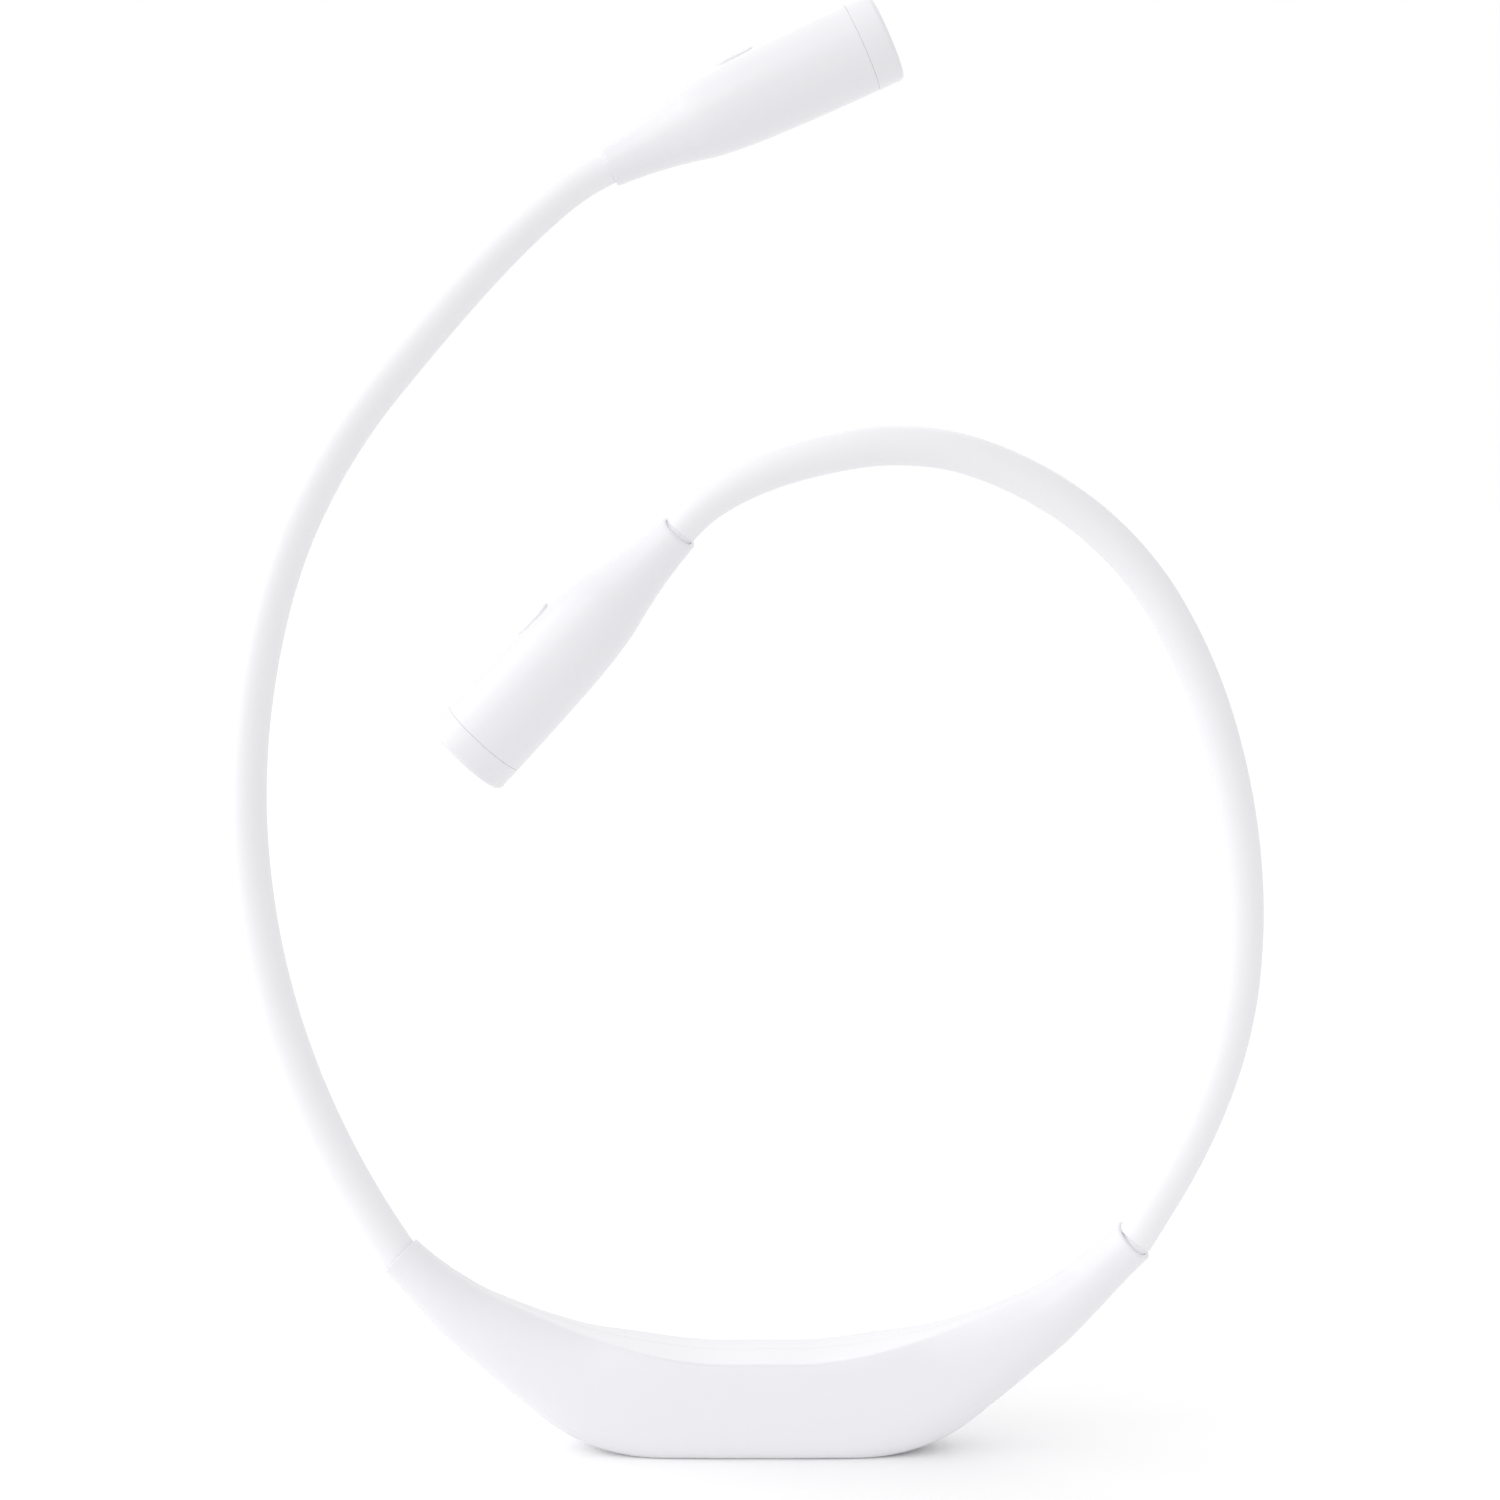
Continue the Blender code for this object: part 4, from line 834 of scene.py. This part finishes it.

# %% [markdown]
# ## Sleeve, gooseneck and wire
#
# When the light is posed, an arm turns at four bends. A rigid piece for each stretch would open a gap at
# every bend, so each piece here runs from the middle of one stretch to the middle of the next, across the
# joint between them. Neighbours meet where both are stiff, so their ends match. A bend that reaches far
# along the arm looks most like a real gooseneck. So for each piece a reach nearly to the middle of its
# stretches and a pivot at its joint are worked out, but nothing here bends it. The gooseneck's winding is
# a thread cut into its radius: the radius dips once a turn, and the dip moves on along the arm.

# %% Sizes inside the arms
SLEEVE_TIP_RADIUS = 3.3 * MM
SLEEVE_BORE = 2.8 * MM
TAPER_START = 0.84
CORE_RADIUS = 2.45 * MM
CORE_BORE = 1.25 * MM
CORE_START = 0.5 * MM
WINDING_PITCH = 2.4 * MM
WINDING_DEPTH = 0.28 * MM
WIRE_RADIUS = 0.8 * MM
BEND_REACHES = (23.0 * MM, 28.0 * MM, 28.0 * MM, 25.0 * MM)
NECK_BLOCK = 12.5 * MM
FERRULE_LENGTH = 5.0 * MM
LED_BOARD_BACK = 48.4 * MM
GROOVE_ROWS = (0.0, 0.06 * MM, 0.12 * MM, 0.18 * MM, 0.25 * MM)


def sleeve_radius(arm):
    """Thinner towards the head, and squeezed in where it enters the collar and the neck."""

    def radius(distance, angle):
        share = (distance - arm.mouth) / arm.free
        full = mix(SLEEVE_RADIUS, SLEEVE_TIP_RADIUS, ease((share - TAPER_START) / (1 - TAPER_START)))
        from_end = min(distance - arm.mouth, arm.tip - distance) / GROOVE_ROWS[-1]
        groove = GROOVES[arm.name][0 if share < 0.5 else 1]
        return full * (1 - groove * (1 - ease(from_end)))

    return radius


def winding(distance, angle):
    turn = math.tau * distance / WINDING_PITCH - angle
    return CORE_RADIUS - WINDING_DEPTH * (0.5 - 0.5 * math.cos(turn)) ** 3


def jacket(distance, angle):
    return WIRE_RADIUS


print("gooseneck radius:", in_mm((winding(0, 0), winding(0, math.pi))), "mm on and between the windings")


# %% Tubes along a line
def tube(line, stops, outside, bore, sides):
    """A tube along a line: the rows run up its outside and back down its bore, or to its axis."""
    rows = [(stop, False) for stop in stops] + [(stop, True) for stop in stops[::-1]]
    rows.append(rows[0])
    if not bore:
        rows = [(stops[0], True)] + [(stop, False) for stop in stops] + [(stops[-1], True)]
    rings = []
    for stop, inside in rows:
        along = line.heading(stop)
        across = (DEPTH - along * along.dot(DEPTH)).normalized()
        rings.append((line.point(stop), across, along.cross(across), stop, inside))

    def place(row, share):
        centre, across, other, stop, inside = rings[row]
        angle = math.tau * (share % 1.0)
        radius = bore if inside else outside(stop, angle)
        return centre + (across * math.cos(angle) + other * math.sin(angle)) * radius

    return rolled(len(rows) - 1, sides, place)


def even_stops(start, end, step):
    count = math.ceil((end - start) / step)
    return [mix(start, end, k / count) for k in range(count + 1)]


print("stops on a free arm:", len(even_stops(arms[0].mouth, arms[0].tip, 2 * MM)))

# %% Arm pieces
STRETCHES = (("root",), ("lower",), ("middle",), ("upper", "tip"))
for arm in arms:
    middles = [(a + b) / 2 for a, b in zip(arm.bends, arm.bends[1:])]
    ends = {
        "sleeve": (arm.mouth - RECESS_DEPTH + ROOM, arm.tip + RECESS_DEPTH - ROOM),
        "gooseneck": (CORE_START, arm.tip + NECK_BLOCK + ROOM + FERRULE_LENGTH),
        "wire": (arm.mouth, arm.tip + LED_BOARD_BACK - ROOM),
    }
    # Radius outside, bore, sides, distance between rows and finish
    layers = {
        "sleeve": (sleeve_radius(arm), SLEEVE_BORE, 40, 1.6 * MM, "white_silicone"),
        "gooseneck": (winding, CORE_BORE, 20, WINDING_PITCH / 6, "steel"),
        "wire": (jacket, 0, 14, 2.0 * MM, "wire_jacket"),
    }
    for layer, (outside, bore, sides, step, material) in layers.items():
        marks = [ends[layer][0]] + middles + [ends[layer][1]]
        for k, bend in enumerate(arm.bends):
            stops = even_stops(marks[k], marks[k + 1], step)
            if layer == "sleeve":
                close = [arm.mouth + row for row in GROOVE_ROWS] + [arm.tip - row for row in GROOVE_ROWS]
                stops = sorted(stops + [stop for stop in close if marks[k] < stop < marks[k + 1]])
            bm = tube(arm.line, stops, outside, bore, sides)
            stands_for = [f"{arm.name}_{layer}_{stretch}" for stretch in STRETCHES[k]]
            part = make(f"{arm.name}_{layer}_bend_{k + 1}", bm, material, stands_for=stands_for)
            reach = arm.line.heading(bend) * BEND_REACHES[k]
            pivot = arm.line.point(bend)
            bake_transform(part)
    print(arm.name, "arm:", len(layers) * len(arm.bends), "pieces that bend across", len(arm.bends), "joints")

# %% [markdown]
# ### The wire inside the housing
#
# From the charging board to each collar the wire takes a route of its own, round the battery. That route
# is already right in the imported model, so a copy of it is cleaned and cut off square at the collar's
# mouth, where the bendable wire takes over.

# %% Leads
for arm in arms:
    lead = bmesh.new()
    lead.from_mesh(frame["nodes"][f"{arm.name}_wire_root"].data)
    tidy(lead)
    cut_across(lead, arm.line.point(arm.mouth), arm.line.heading(arm.mouth - MM), clear_outer=True)
    part = make(f"{arm.name}_lead", close_ends(lead), "wire_jacket", "housing", [f"{arm.name}_wire_root"])
    print(part.name, len(part.data.polygons), "faces")

# %% [markdown]
# ## The lamp heads
#
# A head is a slim bottle shape: a narrow neck that grips the sleeve, a shoulder, a long barrel and a
# separate ring at the front that holds the lens. All of these are turned, so each is an outline spun
# round the head's axis. The barrel isn't quite straight, because its body sits a little outside the line
# of its neck, so after the spin the rings are pushed sideways along an easy curve. The right neck ends
# aslant, as its collar does. The slot for the button is cut last, through the outer side.

# %% Head sizes
NECK_RADIUS = 4.05 * MM
HEAD_RADIUS = 9.2 * MM
HEAD_WALL = 1.3 * MM
HEAD_BORE = 7.6 * MM
HEAD_OFFSET = 0.6 * MM
OFFSET_LENGTH = 24.0 * MM
SEAM = HEAD_LENGTH - 5.5 * MM
SEAM_HAIR = 0.012 * MM
SEAM_EDGE = 0.25 * MM
NECK_LEAN = {"left": 0.0, "right": 0.22}
NECK_LIP = 1.0 * MM
SPIGOT_END = SEAM + 2.8 * MM
SPIGOT_RADIUS = 8.3 * MM
LEDGE = LED_BOARD_BACK - ROOM
LEDGE_WIDTH = 0.7 * MM
LEDGE_TOP = 1.5 * MM
LEDGE_FOOT = 2.2 * MM

# Share of the head's length from the neck, and share of the way from the neck's radius to the head's
HEAD_OUTLINE_SHARES = (
    (0.0, 0.0),
    (0.131, 0.165),
    (0.262, 0.476),
    (0.345, 0.709),
    (0.475, 0.874),
    (0.62, 0.942),
    (0.77, 0.98),
    (1.0, 1.0),
)
HEAD_CURVE = curve_through(HEAD_OUTLINE_SHARES, 12)


def head_radius(distance):
    share = min(max(distance / HEAD_LENGTH, 0.0), 0.9999)
    for a, b in zip(HEAD_CURVE, HEAD_CURVE[1:]):
        if a[0] <= share <= b[0]:
            return mix(NECK_RADIUS, HEAD_RADIUS, min(mix(a[1], b[1], (share - a[0]) / (b[0] - a[0])), 1.0))
    return HEAD_RADIUS


print("radius at a quarter of the head:", in_mm([head_radius(HEAD_LENGTH / 4)]))


# %% Barrel outline
def barrel_outline(name):
    """Along the outside from the neck to the spigot, then back through the bore to the neck's lip."""
    lip = SLEEVE_TIP_RADIUS * (1 - GROOVES[name][1]) + LIP_ROOM
    recess = SLEEVE_TIP_RADIUS + ROOM
    stops = [0.0, 0.5 * NECK_LIP, NECK_LIP] + [SEAM * k / 36 for k in range(1, 37)]
    outside = [(stop, head_radius(stop)) for stop in stops]
    outside[-1] = (SEAM - SEAM_HAIR - SEAM_EDGE, HEAD_RADIUS)
    outside += [(SEAM - SEAM_HAIR, HEAD_RADIUS), (SEAM - SEAM_HAIR, SPIGOT_RADIUS)]
    outside += [(SPIGOT_END, SPIGOT_RADIUS), (SPIGOT_END, HEAD_BORE)]
    ledge_radius = HEAD_BORE - LEDGE_WIDTH
    inside = [(LEDGE, HEAD_BORE), (LEDGE, ledge_radius)]
    inside += [(LEDGE - LEDGE_TOP, ledge_radius), (LEDGE - LEDGE_FOOT, HEAD_BORE)]
    for stop in (HEAD_LENGTH * share for share in (0.525, 0.42, 0.345, 0.26)):
        inside.append((stop, min(head_radius(stop) - HEAD_WALL, HEAD_BORE)))
    inside += [(NECK_BLOCK, head_radius(NECK_BLOCK) - HEAD_WALL), (NECK_BLOCK, CHANNEL_RADIUS)]
    inside += [(RECESS_DEPTH, CHANNEL_RADIUS), (RECESS_DEPTH, recess), (NECK_LIP, recess)]
    inside += [(NECK_LIP, lip), (0.0, lip)]
    return soften(outside + inside, 0.16 * MM)


print("barrel outline:", len(barrel_outline("left")), "points, widest", round(2 * HEAD_RADIUS / MM, 1), "mm")

# %% [markdown]
# ### The button
#
# The button is a long oval with a soft top edge, a flange below that keeps it from falling out, and half a
# millimetre of travel. It starts as a disc pulled out to an oval, is raised for the flange, inset, raised
# again and then has its top edge bevelled. It stands a little proud of the barrel so that a thumb finds
# it in the dark, and its top is crowned like the barrel: it is cut into strips, and each is lowered by as
# much as the barrel's round falls away there.

# %% Button
BUTTON_PLACE = (NECK_BLOCK + ROOM + FERRULE_LENGTH + LEDGE - LEDGE_FOOT) / 2
BUTTON_LENGTH = 8.3 * MM
BUTTON_WIDTH = 5.0 * MM
BUTTON_FLANGE = 0.65 * MM
BUTTON_ROOM = 0.05 * MM
BUTTON_PROUD = 0.4 * MM
FLANGE_DROP = 1.2 * MM
FLANGE_HEIGHT = 0.5 * MM
CROWN_STRIPS = 10
surface = head_radius(BUTTON_PLACE)
FLANGE_TOP = surface - HEAD_WALL - FLANGE_DROP
FLANGE_LOW = FLANGE_TOP - FLANGE_HEIGHT
BUTTON_TOP = surface + BUTTON_PROUD


def button_shape():
    bm = oval(BUTTON_LENGTH + 2 * BUTTON_FLANGE, BUTTON_WIDTH + 2 * BUTTON_FLANGE, FLANGE_LOW, FLANGE_TOP)
    top = [face for face in bm.faces if face.normal.z > 0.9]
    bmesh.ops.inset_region(bm, faces=top, thickness=BUTTON_FLANGE, use_even_offset=True)
    raised = bmesh.ops.extrude_face_region(bm, geom=top)["geom"]
    verts = [v for v in raised if isinstance(v, bmesh.types.BMVert)]
    bmesh.ops.translate(bm, vec=(0, 0, BUTTON_TOP - FLANGE_TOP), verts=verts)
    bmesh.ops.delete(bm, geom=[face for face in top if face.is_valid], context="FACES_ONLY")
    cap = [face for face in raised if isinstance(face, bmesh.types.BMFace)]
    round_edges(bm, list({edge for face in cap for edge in face.edges}), 0.3 * MM, segments=4)
    for k in range(1, CROWN_STRIPS):
        cut_across(bm, (0, BUTTON_WIDTH * (k / CROWN_STRIPS - 0.5), 0), DEPTH)
    for v in bm.verts:
        if v.co.z > FLANGE_TOP + MM:
            v.co.z -= surface - math.sqrt(surface**2 - v.co.y**2)
    return moved(tidy(bm), Matrix.Translation((BUTTON_PLACE, 0, 0)))


test = button_shape()
print("button:", len(test.faces), "faces, closed:", all(edge.is_manifold for edge in test.edges))
test.free()

# %% [markdown]
# ### Front ring, lens, reflector and light
#
# The lens is a thin clear dome, lightly frosted, behind the ring's lip. Through it the plated reflector
# shows, a parabola that spreads the light of one small chip. A plain cone would look like a funnel, so
# the reflector's wall follows the square root of the distance from the chip, as a real one does.

# %% Front ring and lens
LENS_BACK = SPIGOT_END + ROOM
LENS_FRONT = LENS_BACK + 0.8 * MM
LENS_DOME = 0.9 * MM
LIP_RADIUS = 7.3 * MM
RING_BORE = 8.6 * MM
RING_EDGE = 0.7 * MM


def ring_outline():
    points = [
        (SEAM + SEAM_HAIR, HEAD_RADIUS),
        (SEAM + SEAM_HAIR + SEAM_EDGE, HEAD_RADIUS),
        (HEAD_LENGTH - RING_EDGE, HEAD_RADIUS),
        (HEAD_LENGTH, HEAD_RADIUS - 0.5 * MM),
        (HEAD_LENGTH, LIP_RADIUS + 0.6 * MM),
        (HEAD_LENGTH - RING_EDGE, LIP_RADIUS),
        (LENS_FRONT + ROOM, LIP_RADIUS),
        (LENS_FRONT + ROOM, RING_BORE),
        (SEAM + SEAM_HAIR, RING_BORE),
    ]
    return soften(points, 0.3 * MM, steps=4)


def lens_outline():
    edge = RING_BORE - ROOM
    dome = LIP_RADIUS - ROOM
    angles = (0.25, 0.5, 0.75, 1.0, 1.25, 1.45)
    points = [(LENS_BACK, 0), (LENS_BACK, edge), (LENS_FRONT, edge), (LENS_FRONT, dome)]
    points += [(LENS_FRONT + LENS_DOME * math.sin(a), dome * math.cos(a)) for a in angles]
    return points + [(LENS_FRONT + LENS_DOME, 0)]


print("ring:", round(2 * LIP_RADIUS / MM, 1), "mm inside its lip, lens:", len(lens_outline()), "points")

# %% Reflector and chip
REFLECTOR_LENGTH = 8.4 * MM
REFLECTOR_BACK = SPIGOT_END - REFLECTOR_LENGTH
REFLECTOR_HOLE = 2.5 * MM
REFLECTOR_RIM = 0.7 * MM
REFLECTOR_STEPS = 14
CHIP_STAND = 1.5 * MM
CHIP_HEIGHT = 0.45 * MM
CHIP_SIDE = 3.0 * MM
PHOSPHOR_RADIUS = 1.25 * MM
PHOSPHOR_RISE = 0.44 * MM


def reflector_outline():
    """Up the mirror, round the rim that sits in the barrel, and back down the outside."""
    depth = REFLECTOR_LENGTH - 0.15 * MM
    wide = HEAD_BORE - ROOM
    mirror = wide - REFLECTOR_RIM
    inside = []
    for k in range(REFLECTOR_STEPS + 1):
        x = REFLECTOR_BACK + depth * k / REFLECTOR_STEPS
        inside.append((x, mix(REFLECTOR_HOLE, mirror, math.sqrt((x - REFLECTOR_BACK) / depth))))
    front = inside[-1][0]
    outside = [(front, wide), (front - REFLECTOR_RIM, wide), (front - REFLECTOR_RIM, wide - 0.3 * MM)]
    outside += [(x, radius + 0.55 * MM) for x, radius in inside[-4:0:-1]]
    return inside + outside + [(REFLECTOR_BACK, REFLECTOR_HOLE + REFLECTOR_RIM)]


def chip_shape(start):
    """A square package with a round dome of phosphor on it."""
    package = bmesh.new()
    add_block(package, (start + CHIP_HEIGHT / 2, 0, 0), (CHIP_HEIGHT, CHIP_SIDE, CHIP_SIDE))
    round_edges(package, list(package.edges), 0.1 * MM)
    base = start + 0.46 * MM
    arc = [k / 8 * math.pi / 2 for k in range(9)]
    round_top = [(base + PHOSPHOR_RISE * math.sin(a), PHOSPHOR_RADIUS * math.cos(a)) for a in arc]
    return package, turned([(base, 0)] + round_top, 32, closed=False)


print("reflector:", round(REFLECTOR_BACK / MM, 1), "to", round(SPIGOT_END / MM, 1), "mm from the neck")

# %% Build both heads
for arm in arms:
    outward = Vector((arm.along.z, 0, -arm.along.x)) * arm.side
    turn = Matrix((arm.along, outward.cross(arm.along), outward)).transposed().to_4x4()
    at_neck = Matrix.Translation(arm.neck) @ turn
    at_body = at_neck @ Matrix.Translation((0, 0, HEAD_OFFSET))
    head, name = f"{arm.name}_head", arm.name
    barrel = turned(barrel_outline(name), 72)
    for v in barrel.verts:
        if v.co.x > NECK_BLOCK or v.co.yz.length > NECK_RADIUS - 0.2 * MM:
            v.co.z += HEAD_OFFSET * ease(v.co.x / OFFSET_LENGTH)
        if v.co.x < 1.3 * NECK_LIP:
            v.co.x += NECK_LEAN[name] * arm.side * v.co.y * (1 - ease(v.co.x / NECK_LIP - 0.3))
    slot = oval(BUTTON_LENGTH + 2 * BUTTON_ROOM, BUTTON_WIDTH + 2 * BUTTON_ROOM, FLANGE_LOW, HEAD_RADIUS + MM)
    moved(slot, Matrix.Translation((BUTTON_PLACE, 0, HEAD_OFFSET)))
    barrel = moved(carve(barrel, [("DIFFERENCE", slot)]), at_neck)
    made = make(f"{name}_lamp_barrel", barrel, "white_plastic", head, [f"{head}_barrel"], sharp=30)
    button = moved(button_shape(), at_body)
    make(f"{name}_lamp_button", button, "button_plastic", f"{name}_button", [f"{head}_button"])
    ring = moved(turned(ring_outline(), 72), at_body)
    make(f"{name}_lamp_ring", ring, "white_plastic", head, [f"{head}_bezel"], sharp=30)
    lens = moved(turned(lens_outline(), 72, closed=False), at_body)
    make(f"{name}_lamp_lens", lens, "frosted_lens", head, [f"{head}_lens"])
    cup = moved(turned(reflector_outline(), 72), at_body)
    make(f"{name}_lamp_reflector", cup, "bright_plating", head, [f"{head}_reflector"])
    package, phosphor = chip_shape(LED_BOARD_BACK + CHIP_STAND)
    make(f"{name}_lamp_chip", moved(package, at_body), "button_plastic", head, [f"{head}_led"])
    make(f"{name}_lamp_phosphor", moved(phosphor, at_body), "led_phosphor", head)
    print(name, "head:", len(made.data.polygons), "faces in the barrel")

# %% [markdown]
# ## Floor and light
#
# The light was photographed on white with a large soft lamp on the left, so its tops and left sides go
# white and its right and lower sides stay a soft grey. Three suns stand for that lamp and for what comes
# back from behind and from the front left. They are so wide that their shadows have no edge. An even pale
# world fills the rest. The floor has two sides to it: the camera sees white paper with a painted glow on
# it. The glow is painted light, strongest where the real one is lit most, at the lamp's side, and painted
# shade, weakest, in the shadow on the right. All other rays meet a paper that gets darker with distance,
# because a real table is only so large. That keeps the undersides of the housing grey.

# %% Floor sizes
FLOOR_HALF_SIDE = 6.0
FLOOR_DROP = 0.02 * MM
FLOOR_WHITE = 0.98

# Distance from the middle of the housing in metres, and how pale the floor is to hidden rays there
NEAR, NEAR_PALE = 0.10, 0.97
FAR, FAR_PALE = 0.60, 0.78

# Where the floor's painted light starts and ends along X, in metres, and its strength at shares of that way:
# painted light at the lamp's side, painted shade in the shadow on the right
PAINTED_LIGHT_FROM, PAINTED_LIGHT_TO = -0.06, 0.14
PAINTED_LIGHT_LEVELS = ((0.0, 0.10), (0.45, 0.015), (1.0, 0.05))


def camera_sees_white(tree, hidden, shown):
    """The shown shader where the camera looks, also through glass and gloss, or else the hidden one."""
    path = add_node(tree, "ShaderNodeLightPath")
    first = add_node(tree, "ShaderNodeMath", operation="MAXIMUM")
    last = add_node(tree, "ShaderNodeMath", operation="MAXIMUM")
    chooser = add_node(tree, "ShaderNodeMixShader")
    link = tree.links.new
    link(path.outputs["Is Camera Ray"], first.inputs[0])
    link(path.outputs["Is Glossy Ray"], first.inputs[1])
    link(first.outputs["Value"], last.inputs[0])
    link(path.outputs["Is Transmission Ray"], last.inputs[1])
    link(last.outputs["Value"], chooser.inputs["Fac"])
    link(hidden, chooser.inputs[1])
    link(shown, chooser.inputs[2])
    return chooser.outputs["Shader"]


print("floor lift on the left, in the shadow and on the right:", [level for _, level in PAINTED_LIGHT_LEVELS])

# %% Floor
floor_bm = bmesh.new()
bmesh.ops.create_grid(floor_bm, x_segments=1, y_segments=1, size=FLOOR_HALF_SIDE)
floor_mesh = bpy.data.meshes.new("floor")
floor_bm.to_mesh(floor_mesh)
floor_bm.free()
floor = bpy.data.objects.new("floor", floor_mesh)
floor.location.z = -FLOOR_DROP
scene.collection.objects.link(floor)
floor_material = bpy.data.materials.new("white_floor")
floor_material.use_nodes = True
tree = floor_material.node_tree
tree.nodes.remove(tree.nodes["Principled BSDF"])
bright = add_node(tree, "ShaderNodeBsdfDiffuse")
bright.inputs["Color"].default_value = (FLOOR_WHITE, FLOOR_WHITE, FLOOR_WHITE, 1)
dim = add_node(tree, "ShaderNodeBsdfDiffuse")
spot = add_node(tree, "ShaderNodeTexCoord")
away = add_node(tree, "ShaderNodeVectorMath", operation="LENGTH")
falling = add_node(tree, "ShaderNodeMapRange", interpolation_type="SMOOTHSTEP")
for label, value in (("From Min", NEAR), ("From Max", FAR), ("To Min", NEAR_PALE), ("To Max", FAR_PALE)):
    falling.inputs[label].default_value = value
sides = add_node(tree, "ShaderNodeSeparateXYZ")
across = add_node(tree, "ShaderNodeMapRange")
across.inputs["From Min"].default_value = PAINTED_LIGHT_FROM
across.inputs["From Max"].default_value = PAINTED_LIGHT_TO
painted_light_ramp = add_node(tree, "ShaderNodeValToRGB")
painted_light_ramp.color_ramp.interpolation = "EASE"
painted_light_ramp.color_ramp.elements.new(PAINTED_LIGHT_LEVELS[1][0])
for stop, (place, level) in zip(painted_light_ramp.color_ramp.elements, PAINTED_LIGHT_LEVELS):
    stop.position = place
    stop.color = (level, level, level, 1)
# An emission glow on the floor that varies along X: painted light at the lamp's side and painted shade in the
# shadow on the right
painted_light = add_node(tree, "ShaderNodeEmission")
paper = add_node(tree, "ShaderNodeAddShader")
link = tree.links.new
link(spot.outputs["Object"], away.inputs[0])
link(away.outputs["Value"], falling.inputs["Value"])
link(falling.outputs["Result"], dim.inputs["Color"])
link(spot.outputs["Object"], sides.inputs["Vector"])
link(sides.outputs["X"], across.inputs["Value"])
link(across.outputs["Result"], painted_light_ramp.inputs["Fac"])
link(painted_light_ramp.outputs["Color"], painted_light.inputs["Strength"])
link(bright.outputs["BSDF"], paper.inputs[0])
link(painted_light.outputs["Emission"], paper.inputs[1])
chosen = camera_sees_white(tree, dim.outputs["BSDF"], paper.outputs["Shader"])
link(chosen, tree.nodes["Material Output"].inputs["Surface"])
floor_mesh.materials.append(floor_material)
floor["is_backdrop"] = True
print("floor:", [round(value, 1) for value in floor.dimensions], "m")

# %% World and lamps
FILL = 0.85

# Name, the way it comes from, strength, and how wide it is in degrees
LAMPS = (
    ("left_window", (-1.0, 0.0, 0.30), 1.00, 60),
    ("back_box", (0.1, 0.8, 0.6), 0.17, 45),
    ("front_box", (-0.6, -0.6, 0.5), 0.30, 45),
)
world = bpy.data.worlds.new("studio")
scene.world = world
world.use_nodes = True
tree = world.node_tree
fill = tree.nodes["Background"]
fill.inputs["Color"].default_value = (0.99, 0.99, 1.0, 1)
fill.inputs["Strength"].default_value = FILL
white = add_node(tree, "ShaderNodeBackground")
white.inputs["Color"].default_value = (1, 1, 1, 1)
white.inputs["Strength"].default_value = 1.0
chosen = camera_sees_white(tree, fill.outputs["Background"], white.outputs["Background"])
tree.links.new(chosen, tree.nodes["World Output"].inputs["Surface"])


def soft_light(name, way, strength, spread):
    """A light so far off that it is even, coming from the given direction through a wide angle."""
    lamp = bpy.data.objects.new(name, bpy.data.lights.new(name, "SUN"))
    lamp.data.energy = strength
    lamp.data.angle = math.radians(spread)
    lamp.rotation_euler = Vector(way).to_track_quat("Z", "Y").to_euler()
    scene.collection.objects.link(lamp)
    return lamp


lamps = [soft_light(*row) for row in LAMPS]
scene.view_settings.view_transform = "Standard"
print("lamps:", [(lamp.name, round(lamp.data.energy, 2)) for lamp in lamps])

# %% [markdown]
# ## The size at the end
#
# The dressed light should stay the size of the imported one. The imported box is printed at the start,
# and the last line prints the box of the dressed light.

# %% Finish
visual_box = [list(corner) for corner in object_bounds()]
print("visual box in mm:", [in_mm(corner) for corner in visual_box])
